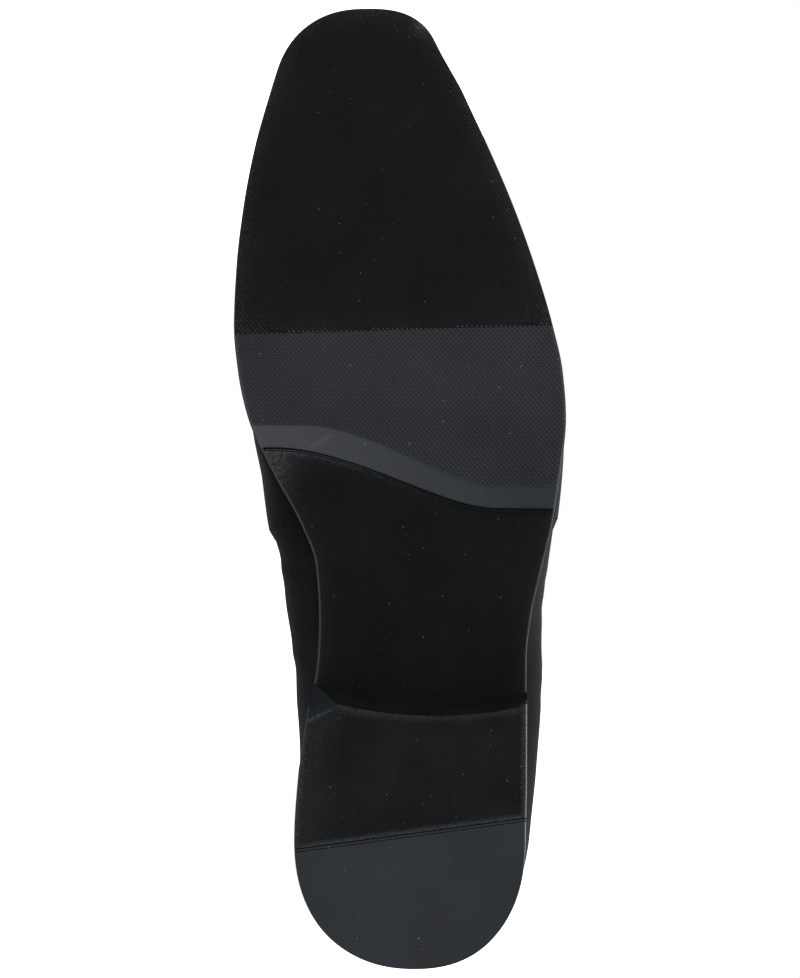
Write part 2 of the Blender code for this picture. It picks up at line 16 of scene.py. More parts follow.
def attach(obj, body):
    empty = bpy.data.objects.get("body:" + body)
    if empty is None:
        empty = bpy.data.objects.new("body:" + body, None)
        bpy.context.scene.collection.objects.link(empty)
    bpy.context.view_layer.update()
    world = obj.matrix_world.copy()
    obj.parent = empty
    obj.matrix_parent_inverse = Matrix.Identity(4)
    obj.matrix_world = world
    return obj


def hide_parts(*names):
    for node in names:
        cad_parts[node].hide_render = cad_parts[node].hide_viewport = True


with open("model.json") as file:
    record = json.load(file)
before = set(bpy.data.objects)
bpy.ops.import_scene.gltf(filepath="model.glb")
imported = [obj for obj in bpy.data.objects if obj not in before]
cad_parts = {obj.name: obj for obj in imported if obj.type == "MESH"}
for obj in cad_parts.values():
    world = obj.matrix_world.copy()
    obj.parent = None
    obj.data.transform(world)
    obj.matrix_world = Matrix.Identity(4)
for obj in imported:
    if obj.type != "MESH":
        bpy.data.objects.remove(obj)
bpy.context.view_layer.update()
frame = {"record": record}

bl_info = {
    "name": "Velvet Loafer",
    "version": (1, 0, 0),
    "blender": (4, 5, 0),
    "location": "3D View > Sidebar > Loafer",
    "description": "Builds the finishes of a velvet loafer round its packed part",
    "category": "Object",
}

# Sizes of the shoe that its pieces share
SOLE_LENGTH = 0.302
BALL_WIDTH = 0.102
INSTEP_HEIGHT = 0.068
COLLAR_HEIGHT = 0.056
HEEL_HEIGHT = 0.0235
TOE_SPRING = 0.009
OUTSOLE_THICK = 0.0042
TREAD_THICK = 0.0014
TREAD_RIM = 0.0005
HEEL_TAPER = 0.0004
LIFT_THICK = 0.0058
INSOLE_THICK = 0.0030
WALL = 0.0019
VAMP_OVERLAP = 0.0011
SOLE_MARGIN = 0.0013
CLEARANCE = 0.0003

# Finishes that show: rounded edges, the groove behind the tread, the joint before the tip, lining and ribbon
OUTSOLE_LOW_ROUND = 0.0011
OUTSOLE_HIGH_ROUND = 0.0006
TREAD_ROUND = 0.0005
LIFT_ROUND = 0.0007
SOCK_ROUND = 0.0006
RIB_FRONT = 0.00055
RIB_BACK = 0.00090
RIB_RIM = 0.0012
GROOVE_BACK = 0.00112
GROOVE_RIM = 0.0007
WAIST_RIM = 0.0006
WAIST_BACK = 0.076
LINING_THICK = 0.0005
VELVET_BACK = 0.0006
RIBBON_DEPTH = 0.0036
RIBBON_THICK = 0.0007
RIBBON_FOLD = 0.0010
RIBBON_STITCH_DEPTH = 0.0030
RIBBON_HOLLOW = 0.00005
RIB_HEIGHT = 0.00005
SEAM_STITCH_GAP = 0.0034
SEAM_STITCH_TOP = 0.0065
BACK_STITCH_SHARE = 0.0022
BACK_STITCH_TOP = 0.0060

# Distances from the joint between the top lift and the tip: the lift's end in front of it, and behind it the
# thin lip and the tip's start
LIFT_GAP = 0.00022
LIP_FRONT = 0.0001
LIP_BACK = 0.00075
TIP_FRONT = 0.00098

# Steps that the pieces are divided in
TREAD_COLUMNS = 60
FLOCK_COLUMNS = 160
HEEL_ROUND_STEPS = 28
HEEL_SIDE_STEPS = 18
BREAST_STEPS = 28
UPPER_LOW_ROWS = 5
UPPER_HIGH_ROWS = 34
STITCH_ROWS = 40
RIBBON_STEPS = 5

# Edges of the thin layers of the sole, from the face up: inset and rise. They reach a little into what they
# lie on.
SUNK = 0.0002
RIB_PROFILE = ((0.0001, -0.00045), (0.0, -0.00035), (0.0, SUNK))
GROOVE_PROFILE = ((0.0, -0.00028), (0.0, SUNK))
TREAD_FLOCK_PROFILE = ((0.0005, -0.0002), (0.0002, -0.00016), (0.0, -0.00004), (0.0, SUNK))
WAIST_FLOCK_PROFILE = ((0.0003, -0.00018), (0.0001, -0.00012), (0.0, 0.0), (0.0, SUNK))

# Places along the shoe, as shares of its length from the back of the heel
THROAT_SHARE = 0.512
SIDE_SEAM_SHARE = 0.4565
HEEL_POLE_SHARE = 0.135
TOE_POLE_SHARE = 0.915
BREAST_INNER_SHARE = 0.2834
BREAST_OUTER_SHARE = 0.2750
TIP_JOINT_INNER_SHARE = 0.1245
TIP_JOINT_OUTER_SHARE = 0.1577

# Lines across the forepart: shares of the length on the inner and the outer edge, and the shares of the
# width that the S-shaped ones bend between
TREAD_EDGE = (0.5400, 0.4772)
TREAD_BEND = (0.04, 0.79)
BAND_FRONT = (0.5615, 0.4985)
BAND_BEND = (0.161, 0.789)
FLOCK_EDGE = (0.656, 0.666)

# Round ends of the outline, and the heel's front with how far its breast and its cut corner face forward
HEEL_ROUND_DEPTH = 0.041
HEEL_SQUARENESS = 2.25
TOE_ROUND_DEPTH = 0.021
TOE_SQUARENESS = 2.55
BREAST_BOW = 0.0044
BREAST_SLOPE = 0.0032
BREAST_FACING = 0.85
CORNER_FACING = 0.4
CORNER_CUT_ALONG = 0.0078
CORNER_CUT_ACROSS = 0.0150
CROWN_ROUNDNESS = 2.0

# Sole outline: distance of each edge from the axis, as a share of BALL_WIDTH
OUTLINE = {
    "share": (0.0, 0.045, 0.133, 0.20, 0.26, 0.32, 0.3625, 0.4175, 0.459, 0.5125, 0.571,
              0.618, 0.665, 0.727, 0.790, 0.852, 0.908, 0.965, 1.0),
    "inner": (0.344, 0.355, 0.358, 0.346, 0.319, 0.288, 0.283, 0.292, 0.335, 0.4195, 0.4995,
              0.530, 0.543, 0.536, 0.5155, 0.482, 0.4375, 0.3865, 0.3525),
    "outer": (0.370, 0.361, 0.358, 0.361, 0.361, 0.361, 0.373, 0.407, 0.435, 0.460, 0.477,
              0.467, 0.437, 0.3825, 0.316, 0.2385, 0.1625, 0.0895, 0.087),
}

# Underside of the outsole: rise towards the heel as a share of the heel's height, rise towards the toe as a
# share of the toe spring
PROFILE = {
    "share": (0.0, 0.14, 0.28, 0.39, 0.49, 0.575, 0.70, 0.80, 0.90, 1.0),
    "to_heel": (1.0, 0.955, 0.845, 0.52, 0.175, 0.0, 0.0, 0.0, 0.0, 0.0),
    "to_toe": (0.0, 0.0, 0.0, 0.0, 0.0, 0.0, 0.0, 0.16, 0.50, 1.0),
}

# Sections of the upper. Overhang: how far its widest line stands outside the sole's edge, as a share of
# BALL_WIDTH. Widest: height of that line above the sole. Crown: height of the instep line. Both are shares of
# INSTEP_HEIGHT. Side: how far the instep line lies off the axis, as a share of BALL_WIDTH. Lean: roundness of
# the section above its widest line.
SECTIONS = {
    "share": (0.0, 0.10, 0.20, 0.30, 0.39, 0.46, 0.52, 0.58, 0.64, 0.72, 0.80, 0.88, 0.96, 1.0),
    "overhang_inner": (0.004, -0.009, 0.006, 0.071, 0.115, 0.102, 0.031, -0.016, -0.026, -0.027,
                       -0.023, -0.020, -0.019, -0.019),
    "overhang_outer": (0.004, 0.017, 0.040, 0.058, 0.036, 0.014, 0.002, -0.014, -0.021, -0.022,
                       -0.020, -0.019, -0.019, -0.019),
    "widest": (0.30, 0.30, 0.30, 0.33, 0.36, 0.34, 0.29, 0.24, 0.20, 0.17, 0.155, 0.145, 0.135, 0.13),
    "crown": (1.36, 1.34, 1.28, 1.20, 1.13, 1.06, 0.975, 0.855, 0.735, 0.610, 0.510, 0.430, 0.375, 0.36),
    "side": (0.0, 0.0, 0.0, -0.005, -0.015, -0.028, -0.040, -0.052, -0.062, -0.078, -0.095, -0.118,
             -0.140, -0.150),
    "lean": (1.55, 1.50, 1.35, 1.25, 1.30, 1.50, 1.70, 1.90, 2.05, 2.20, 2.35, 2.45, 2.50, 2.50),
}

# Topline, from the back of the collar to the throat: height of the quarters above the sole as a share of
# COLLAR_HEIGHT, and how far it has climbed from there to the instep line
TOPLINE = {
    "share": (0.0, 0.12, 0.27, 0.43, 0.59, 0.72, 0.84, 0.94, 1.0),
    "quarter": (1.0, 0.975, 0.875, 0.765, 0.705, 0.71, 0.75, 0.80, 0.84),
    "climb": (0.0, 0.0, 0.0, 0.0, 0.0, 0.02, 0.20, 0.58, 1.0),
}

# The shoe's own frame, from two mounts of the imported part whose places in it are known
HEEL_MOUNT = Vector((0.0225, 0.0, 0.0))
FOREPART_MOUNT = Vector((0.19, -0.005, 0.0))

# Camera: the photograph's angle to the shoe
CAMERA_ELEVATION = math.radians(2.781)
CAMERA_AZIMUTH = math.radians(1.012)
CAMERA_ROLL = math.radians(-83.665)
CAMERA_DISTANCE = 1.1
CAMERA_TARGET = Vector((0.0, -0.0413, 0.05))
CAMERA_SLIDE_RIGHT = -0.0032
CAMERA_SLIDE_UP = -0.0016

# Soft creases of the velvet, placed one by one. Side: -1 inner, 1 outer, 0 both. Share: place along the length
# at
# the sole. Across and up: how far it wanders, as a share of the length, over the ball's width and over the
# collar's height. Dip: depth in metres, less than 0 for a ridge. Width: share of the length. Low and high:
# heights above the sole that it fades out at.
CREASES = (
    # side, share, across, up, dip, width, low, high
    (0, 0.584, 0.030, 0.0, 0.00034, 0.0090, 0.006, 0.200),
    (0, 0.597, 0.036, 0.0, -0.00016, 0.0070, 0.006, 0.200),
    (0, 0.612, 0.045, 0.0, 0.00042, 0.0085, 0.006, 0.200),
    (0, 0.627, 0.052, 0.0, -0.00016, 0.0070, 0.006, 0.200),
    (0, 0.640, 0.060, 0.0, 0.00028, 0.0080, 0.006, 0.200),
    (-1, 0.4150, 0.0, 0.000, -0.00070, 0.0130, 0.012, 0.034),
    (-1, 0.4330, 0.0, -0.090, 0.00080, 0.0060, 0.001, 0.017),
    (-1, 0.4020, 0.0, 0.060, 0.00090, 0.0065, 0.001, 0.018),
    (-1, 0.3620, 0.0, -0.080, 0.00085, 0.0070, 0.001, 0.019),
    (-1, 0.3220, 0.0, 0.000, -0.00045, 0.0120, 0.012, 0.034),
    (-1, 0.3150, 0.0, 0.050, 0.00075, 0.0080, 0.001, 0.018),
    (-1, 0.2650, 0.0, -0.050, 0.00060, 0.0090, 0.002, 0.018),
    (1, 0.418, 0.0, -0.040, 0.00030, 0.0090, 0.002, 0.032),
    (1, 0.352, 0.0, 0.050, 0.00030, 0.0110, 0.002, 0.032),
    (1, 0.290, 0.0, -0.030, 0.00025, 0.0120, 0.003, 0.032),
)
CREASE_FADE = 0.010

# Scratches of the band: middle and turn in the shoe's own frame, half a length and half a width in
# millimetres, and strength
SCRATCHES = (
    (165.0, -28.0, 1.05, 5.0, 0.85, 0.22),
    (167.6, -38.0, 0.70, 2.0, 0.30, 0.22),
    (161.5, -35.5, 1.30, 2.6, 0.25, 0.16),
)

# Edges of the top lift's face in millimetres: x for a y, as a slope and a start, with the breast's bow as a
# share of y squared and a start. The inner edge is y for an x, and the outer one a plain y.
LIFT_FRONT = (-0.035, 84.3)
LIFT_BOW = (0.0034, -4.4)
LIFT_CORNER = (0.52, 96.2)
LIFT_JOINT = (0.1365, 42.6)
LIFT_INNER = (-0.08, 39.4)
LIFT_OUTER = 36.6

# Rubbed spots, as a middle and a reach both ways: on the forepart's tip in metres, and at the waist's inner
# front corner in millimetres
TIP_SPOT = (0.2965, 0.0035, 0.0035, 0.0025)
WAIST_SPOT = (158, -45, 10, 7)

# Light specks of dust on the flock and on the rubber
FLOCK_DUST = (0.050, 0.053, 0.057)
RUBBER_DUST = (0.06, 0.065, 0.07)

# Colours that the flock and the rubber turn to where they are worn. The top lift's colour is its painted
# highlights, and the rim's colour is the painted glint along the heel's outer rim.
WORN_FLOCK = (0.055, 0.057, 0.061)
LIFT_HIGHLIGHT = (0.028, 0.029, 0.031)
WORN_BREAST = (0.02, 0.02, 0.02)
WORN_CORNER = (0.03, 0.03, 0.03)
RIM_GLINT = (0.052, 0.055, 0.060)

# Soft lights: place, target and side of each
LIGHTS = {
    "key": ((-1.1, -0.9, 0.9), (0.0, -0.04, 0.05), 0.9),
    "fill": ((0.5, -1.6, 0.9), (0.0, -0.04, 0.05), 1.2),
    "back": ((0.25, 1.1, 1.3), (0.0, 0.0, 0.05), 0.8),
}


def mount_place(name):
    """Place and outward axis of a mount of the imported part."""
    for mount in frame["record"]["mounts"]:
        if mount["name"] == name:
            return Vector(mount["pos_m"]), Vector(mount["axis"])
    raise KeyError(name)


def shoe_matrix():
    """Matrix from the shoe's own frame to the frame that it lies in."""
    heel, down = mount_place("heel_rest")
    forepart, _ = mount_place("forepart_rest")
    up = -down.normalized()
    step = FOREPART_MOUNT - HEEL_MOUNT
    turn = Matrix.Rotation(-math.atan2(step.y, step.x), 3, up)
    forward = (turn @ (forepart - heel)).normalized()
    side = up.cross(forward)
    axes = Matrix((forward, side, up)).transposed()
    place = heel - axes @ HEEL_MOUNT
    return Matrix.Translation(place) @ axes.to_4x4()


SHOE = shoe_matrix()


def held(value, low=0.0, high=1.0):
    """A value held between two others."""
    return min(max(value, low), high)


def eased(share):
    """A share that starts and stops softly, held between 0 and 1."""
    share = held(share)
    return share * share * (3 - 2 * share)


def fade(distance, reach):
    """A share that falls from 1 over a distance and stays 1 before its start."""
    return math.exp(-max(distance, 0.0) / reach)


def spot(x, y, middle_x, middle_y, reach_x, reach_y):
    """A soft spot, 1 at its middle."""
    return math.exp(-((x - middle_x) / reach_x) ** 2 - ((y - middle_y) / reach_y) ** 2)


def outward(along, side=1):
    """Direction in plan across a step along the outline, away from the shoe."""
    return Vector((-along.y, along.x)).normalized() * side


def smooth(table, column, share):
    """Reads a column of a table at a share of the length, on a curve that never overshoots its rows."""
    xs, ys = table["share"], table[column]
    share = held(share, xs[0], xs[-1])
    i = max(k for k in range(len(xs) - 1) if xs[k] <= share)
    slopes = [(ys[k + 1] - ys[k]) / (xs[k + 1] - xs[k]) for k in range(len(xs) - 1)]

    def tangent(k):
        if k in (0, len(xs) - 1):
            return slopes[0 if k == 0 else -1]
        before, after = slopes[k - 1], slopes[k]
        if before * after <= 0:
            return 0.0
        near, far = xs[k + 1] - xs[k], xs[k] - xs[k - 1]
        return 3 * (near + far) / ((2 * near + far) / before + (near + 2 * far) / after)

    width = xs[i + 1] - xs[i]
    u = (share - xs[i]) / width
    return (
        ys[i] * (1 + 2 * u) * (1 - u) ** 2
        + tangent(i) * width * u * (1 - u) ** 2
        + ys[i + 1] * u * u * (3 - 2 * u)
        + tangent(i + 1) * width * u * u * (u - 1)
    )


def rounded(distance, depth, squareness):
    """How wide a round end is, from 0 at its tip to 1 at its depth."""
    left = max(0.0, 1 - distance / depth)
    return max(0.0, 1 - left**squareness) ** (1 / squareness)


def edge_point(share, side):
    """Point of the sole's outline. Side is -1 on the inner edge and 1 on the outer one."""
    inner = -BALL_WIDTH * smooth(OUTLINE, "inner", share)
    outer = BALL_WIDTH * smooth(OUTLINE, "outer", share)
    x = share * SOLE_LENGTH
    half = (outer - inner) / 2
    half *= rounded(x, HEEL_ROUND_DEPTH, HEEL_SQUARENESS)
    half *= rounded(SOLE_LENGTH - x, TOE_ROUND_DEPTH, TOE_SQUARENESS)
    return Vector((x, (inner + outer) / 2 + side * half))


def underside(x):
    """Height of the outsole's underside above the ground."""
    share = x / SOLE_LENGTH
    ground = TREAD_THICK + CLEARANCE
    to_heel = smooth(PROFILE, "to_heel", share)
    return ground + (HEEL_HEIGHT - ground) * to_heel + TOE_SPRING * smooth(PROFILE, "to_toe", share)


def seat(x):
    """Height of the outsole's top, which the upper and the insole rest on."""
    return underside(x) + OUTSOLE_THICK


class Outline:
    """The sole's outline moved in by an inset."""

    made = {}

    def __init__(self, inset):
        shares = (1 - np.cos(np.linspace(0, math.pi, 721))) / 2
        ring = [edge_point(share, 1) for share in shares]
        size = len(ring)
        ring += [edge_point(share, -1) for share in shares[-2:0:-1]]
        count = len(ring)
        moved = [point - outward(ring[(k + 1) % count] - ring[k - 1]) * inset for k, point in enumerate(ring)]
        self.outer = np.array(moved[:size])
        self.inner = np.array([moved[-k % count] for k in range(size)])
        self.back = self.outer[0][0]
        self.front = self.outer[-1][0]

    @classmethod
    def at(cls, inset):
        """The outline at an inset, worked out once."""
        key = round(inset * 1e6)
        if key not in cls.made:
            cls.made[key] = cls(inset)
        return cls.made[key]

    def sides(self, x):
        """Inner and outer y at a distance along the shoe."""
        x = held(x, self.back, self.front)
        return tuple(float(np.interp(x, edge[:, 0], edge[:, 1])) for edge in (self.inner, self.outer))


def line_across(ends, turn):
    """Distance along the shoe of a line across it, part of the way from its inner to its outer end."""
    return SOLE_LENGTH * (ends[0] + (ends[1] - ends[0]) * turn)


def s_curve(across, bend):
    """Bend of the tread's S-shaped lines, from 0 on the inner edge to 1 on the outer edge."""
    return eased((across - bend[0]) / (bend[1] - bend[0]))


def tread_edge(across):
    """Where the forepart tread ends."""
    return line_across(TREAD_EDGE, s_curve(across, TREAD_BEND))


def band_front(across):
    """Where the smooth band at the tread's rear meets the knurled rubber."""
    return line_across(BAND_FRONT, s_curve(across, BAND_BEND))


def flock_edge(across):
    """Where the flock on the forepart ends."""
    return line_across(FLOCK_EDGE, across)


def tread_face(x):
    """Height of the forepart tread's walking face."""
    return underside(x) - CLEARANCE - TREAD_THICK


def toward_tip(start, inset, rows, near=()):
    """Lines across the sole from a start line to the toe's tip, at given distances and then closing up."""
    tip = Outline.at(inset).front
    lines = [lambda v, d=d: start(v) + d for d in near]
    begin = near[-1] if near else 0.0
    turns = [math.sin(math.pi / 2 * k / rows) for k in range(1 if near else 0, rows + 1)]
    return lines + [lambda v, turn=turn: start(v) + begin + (tip - start(v) - begin) * turn for turn in turns]


def patch(lines, inset, columns, height):
    """Rows of points across the sole, along lines that give x for a share of the width."""
    outline = Outline.at(inset)
    rows = []
    for line in lines:
        row = []
        for k in range(columns + 1):
            v = k / columns
            x = line(v)
            inner, outer = outline.sides(x)
            y = inner + (outer - inner) * v
            row.append(Vector((x, y, height(x))))
        rows.append(row)
    return rows


def edge_places(rows):
    """Row and column of each point round the edge of a patch, in order."""
    last, end = len(rows) - 1, len(rows[0]) - 1
    places = [(0, c) for c in range(end + 1)]
    places += [(r, end) for r in range(1, last + 1)]
    places += [(last, c) for c in range(end - 1, -1, -1)]
    return places + [(r, 0) for r in range(last - 1, 0, -1)]


def fill_patch(bm, rows, ring):
    """Makes a patch's faces between the vertices of the ring round its edge."""
    grid = dict(zip(edge_places(rows), ring))
    for r, row in enumerate(rows):
        for c, point in enumerate(row):
            if (r, c) not in grid:
                grid[r, c] = bm.verts.new(point)
    for r in range(len(rows) - 1):
        for c in range(len(rows[0]) - 1):
            bm.faces.new((grid[r, c], grid[r, c + 1], grid[r + 1, c + 1], grid[r + 1, c]))


def join_rings(bm, rings):
    """Makes the faces between each ring of vertices and the next one."""
    for low, high in zip(rings, rings[1:]):
        for k in range(len(low)):
            after = (k + 1) % len(low)
            bm.faces.new((low[k], low[after], high[after], high[k]))


def slab(patches):
    """Closed sheet: the first patch is its lower face and the last one its upper face, and the ones between
    only lend their edges to its side."""
    bm = bmesh.new()
    rings = [[bm.verts.new(rows[r][c]) for r, c in edge_places(rows)] for rows in patches]
    fill_patch(bm, patches[0], rings[0])
    fill_patch(bm, patches[-1], rings[-1])
    join_rings(bm, rings)
    bmesh.ops.remove_doubles(bm, verts=bm.verts[:], dist=2e-7)
    bmesh.ops.dissolve_degenerate(bm, edges=bm.edges[:], dist=1e-8)
    return bm


def layers(levels, lines, rim, columns, height):
    """Closed sheet from a patch for each level, an inset and a rise. Lines gives the lines across for an
    inset, which adds to the rim, and height is the ground that the rises count from."""
    return slab([patch(lines(inset), rim + inset, columns, lambda x, r=rise: height(x) + r)
                 for inset, rise in levels])


def arc(radius, steps):
    """Inset and rise of a quarter-round edge, from the face up to the side."""
    turns = [math.pi / 2 * k / steps for k in range(steps + 1)]
    return [(radius * (1 - math.sin(a)), radius * (1 - math.cos(a))) for a in turns]


def mark_wear(mesh, wear):
    """Stores a function of a point, from 0 to 1, as the mesh's wear."""
    marks = mesh.attributes.new("wear", "FLOAT", "POINT")
    marks.data.foreach_set("value", [wear(vert.co) for vert in mesh.vertices])


def add_object(name, data):
    """New object in the scene."""
    obj = bpy.data.objects.new(name, data)
    bpy.context.scene.collection.objects.link(obj)
    return obj


def make_piece(name, bm, materials, replaced, sharp=40, wear=None, choose=None):
    """Makes a finished piece of a bmesh in the shoe's own frame. A function of a point marks worn places and
    painted light, and choose gives the number of a face's material from its middle and its normal."""
    bmesh.ops.recalc_face_normals(bm, faces=bm.faces[:])
    if choose is not None:
        for face in bm.faces:
            face.material_index = choose(face.calc_center_median(), face.normal)
    mesh = bpy.data.meshes.new(name)
    bm.to_mesh(mesh)
    bm.free()
    if wear is not None:
        mark_wear(mesh, wear)
    finish_piece(name, mesh, materials, replaced, sharp)


def finish_piece(name, mesh, materials, replaced, sharp):
    """Lays a mesh down with the shoe and hands it over as a piece."""
    mesh.transform(SHOE)
    mesh.shade_smooth()
    mesh.set_sharp_from_angle(angle=math.radians(sharp))
    for material in materials:
        mesh.materials.append(material)
    obj = add_object(name, mesh)
    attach(obj, "root")
    if replaced:
        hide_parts(replaced)


def sole_lines(inset, rows):
    """Straight lines across the sole, closing up towards its ends."""
    outline = Outline.at(inset)
    turns = [math.pi * k / rows for k in range(rows + 1)]
    reach = outline.front - outline.back
    return [lambda v, t=t: outline.back + reach * (1 - math.cos(t)) / 2 for t in turns]


def make_outsole(material):
    """Full-length outsole with rounded edges."""
    levels = arc(OUTSOLE_LOW_ROUND, 4)
    levels += [(inset, OUTSOLE_THICK - rise) for inset, rise in reversed(arc(OUTSOLE_HIGH_ROUND, 3))]

    # Painted highlight: a light line along the waist's low rounded edge, where the edge catches the light.
    def rubbed(point):
        along_waist = held((point.x - 0.083) / 0.01) * held((0.168 - point.x) / 0.004)
        low_edge = point.z < underside(point.x) + 0.0009 and edge_gap(point) > 0.0001
        return 0.34 * along_waist if low_edge else 0.0

    sheet = layers(levels, lambda inset: sole_lines(inset, 150), 0.0, 12, underside)
    make_piece("outsole_rubber", sheet, [material], "outsole", wear=rubbed)


def across_at(point, inset=TREAD_RIM):
    """Share of the width at a point of the sole, from 0 on the inner edge to 1 on the outer edge."""
    inner, outer = Outline.at(inset).sides(point.x)
    return (point.y - inner) / max(outer - inner, 1e-6)


def tread_lines(inset):
    """Lines across the tread: over its rounded rear edge and the band, and from there to the toe."""
    lines = [lambda v, d=d: tread_edge(v) + inset + d for d in (0.0, 0.0010, 0.0030, 0.0055)]
    return lines + toward_tip(lambda v: band_front(v) + 0.0003, TREAD_RIM + inset, 66, (0.0,))


def make_tread(band, ground):
    """Forepart tread with a rounded S-shaped rear edge: a smooth band, and the knurl's ground, darkened as
    painted shade between the studs.
    """

    # Painted light: the band and the knurl's ground are lighter towards the inner side, a painted reflection,
    # and near the outline, a painted highlight.
    def lighter(point):
        return 0.44 * (1 - held(across_at(point))) ** 1.5 + 0.40 * fade(edge_gap(point), 0.0006)

    # Downward faces in front of the band get the knurl's ground, darker as painted shade between the studs.
    def choose(middle, normal):
        return 1 if normal.z < -0.7 and middle.x > band_front(across_at(middle)) + 0.0003 else 0

    levels = arc(TREAD_ROUND, 3) + [(0.0, TREAD_THICK - 0.0001)]
    sheet = layers(levels, tread_lines, TREAD_RIM, TREAD_COLUMNS, tread_face)
    make_piece("tread_rubber", sheet, [band, ground], "forepart_tread", wear=lighter,
               choose=choose)


def strip_lines(front, back, steps):
    """Lines across the sole between two distances behind the tread's edge."""
    return [lambda v, k=k: tread_edge(v) - back + (back - front) * k / steps for k in range(steps + 1)]


def make_waist_rib(material):
    """Thin rubber rib just behind the tread's edge, which leaves a fine groove on each side of it."""
    lines = lambda inset: strip_lines(RIB_FRONT + inset, RIB_BACK - inset, 2)
    sheet = layers(RIB_PROFILE, lines, RIB_RIM, TREAD_COLUMNS, underside)
    # The rib is lighter towards the inner side: a painted highlight on its top.
    make_piece("waist_rib", sheet, [material], "",
               wear=lambda point: 0.55 * max(0.0, 1 - across_at(point)) ** 2)


def make_groove_shade(material):
    """Painted shade: a matt sheet on the floor of the groove behind the tread's edge, which stands in for the
    shade at the foot of the tread's rear step.
    """
    lines = lambda inset: strip_lines(-0.0001, GROOVE_BACK, 3)
    sheet = layers(GROOVE_PROFILE, lines, GROOVE_RIM, TREAD_COLUMNS, underside)
    make_piece("waist_groove", sheet, [material], "")


def make_tread_flock(material):
    """Flock that covers the front of the forepart tread, with a slightly ragged rear edge."""

    def lines(inset):
        ragged = lambda v: flock_edge(v) + inset + 0.00022 * math.sin(v * 211) * math.sin(v * 97 + 1)
        return toward_tip(ragged, TREAD_RIM + inset, 60)

    sheet = layers(TREAD_FLOCK_PROFILE, lines, TREAD_RIM, FLOCK_COLUMNS, tread_face)
    make_piece("tread_flock", sheet, [material], "", wear=flock_wear)


def edge_gap(point):
    """Distance from a point of the sole to its outline across the shoe, and to its tip."""
    inner, outer = Outline.at(0.0).sides(point.x)
    return max(0.0, min(point.y - inner, outer - point.y, SOLE_LENGTH - point.x))


def behind_flock(point):
    """How far in front of the front flock's rear edge a point lies, and its share of the width."""
    across = across_at(point)
    return point.x - flock_edge(across), across


def flock_wear(point):
    """Wear of the front flock: a little lighter along the outline, at the tip and at its rear edge."""
    behind, _ = behind_flock(point)
    tip = spot(point.x, point.y, *TIP_SPOT)
    return 0.14 * fade(edge_gap(point), 0.0018) + 0.6 * tip + 0.02 * fade(behind, 0.004)


def stud_wear(point):
    """Wear of the studs under the front flock: they show along the outline and near its rear edge."""
    behind, across = behind_flock(point)
    near = (0.10 + 0.13 * max(0.0, 1 - across * 2)) * fade(behind, 0.004)
    return min(1.0, 0.01 + 0.22 * fade(edge_gap(point), 0.0035) + near)


def lattice(step_across, step_along, inside):
    """Points of a lattice in the forepart, where inside says so, with the face's height. Each row is shifted a
    little over half a step, so that the slanting rows one way stand closer than the other way."""
    points = []
    outline = Outline.at(TREAD_RIM + 0.0004)
    row = 0
    x = TREAD_EDGE[1] * SOLE_LENGTH
    while x < SOLE_LENGTH:
        inner, outer = outline.sides(x)
        first = math.floor(inner / step_across)
        last = math.ceil(outer / step_across)
        for k in range(first, last + 1):
            y = (k + row * 0.56 % 1.0) * step_across
            if x < outline.front and inner < y < outer and inside(x, (y - inner) / (outer - inner)):
                points.append((x, y, tread_face(x)))
        row += 1
        x += step_along
    return points


class Nodes:
    """A node tree under construction: makes nodes and joins them."""

    def __init__(self, tree):
        self.tree = tree

    def node(self, kind, inputs=None, **settings):
        """Adds a node. Inputs are plain values or sockets of other nodes."""
        node = self.tree.nodes.new(kind)
        for key, value in settings.items():
            setattr(node, key, value)
        for key, value in (inputs or {}).items():
            self.feed(node.inputs[key], value)
        return node

    def feed(self, socket, value):
        """Joins a socket to another one, or gives it a value."""
        if isinstance(value, bpy.types.NodeSocket):
            self.tree.links.new(value, socket)
        elif socket.type == "RGBA" and len(value) == 3:
            socket.default_value = (*value, 1.0)
        else:
            socket.default_value = value


def repeat_tree(name, sizes, lay_out):
    """Node tree with named sizes that sets a shape on many points, realizes it and gives it its material."""
    tree = bpy.data.node_groups.new(name, "GeometryNodeTree")
    tree.interface.new_socket("Geometry", in_out="INPUT", socket_type="NodeSocketGeometry")
    for key, default in sizes.items():
        tree.interface.new_socket(key, in_out="INPUT", socket_type="NodeSocketFloat").default_value = default
    tree.interface.new_socket("Material", in_out="INPUT", socket_type="NodeSocketMaterial")
    tree.interface.new_socket("Geometry", in_out="OUTPUT", socket_type="NodeSocketGeometry")
    nodes = Nodes(tree)
    start = nodes.node("NodeGroupInput").outputs
    laid = nodes.node("GeometryNodeInstanceOnPoints", lay_out(nodes, start))
    real = nodes.node("GeometryNodeRealizeInstances", {"Geometry": laid.outputs["Instances"]})
    inputs = {"Geometry": real.outputs["Geometry"], "Material": start["Material"]}
    made = nodes.node("GeometryNodeSetMaterial", inputs)
    nodes.node("NodeGroupOutput", {"Geometry": made.outputs["Geometry"]})
    return tree


def lay_studs(nodes, start):
    """Four-sided stud on every point."""
    half = nodes.node("ShaderNodeMath", {0: start["Top"], 1: 0.5}, operation="MULTIPLY")
    shape = {"Vertices": 4, "Radius Bottom": 0.5, "Radius Top": half.outputs[0], "Depth": 1.0}
    stud = nodes.node("GeometryNodeMeshCone", shape, fill_type="NGON")
    sides = {"X": start["Along"], "Y": start["Across"], "Z": start["Height"]}
    size = nodes.node("ShaderNodeCombineXYZ", sides)
    return {"Points": start["Geometry"], "Instance": stud.outputs["Mesh"], "Rotation": (math.pi, 0.0, 0.0),
            "Scale": size.outputs["Vector"]}


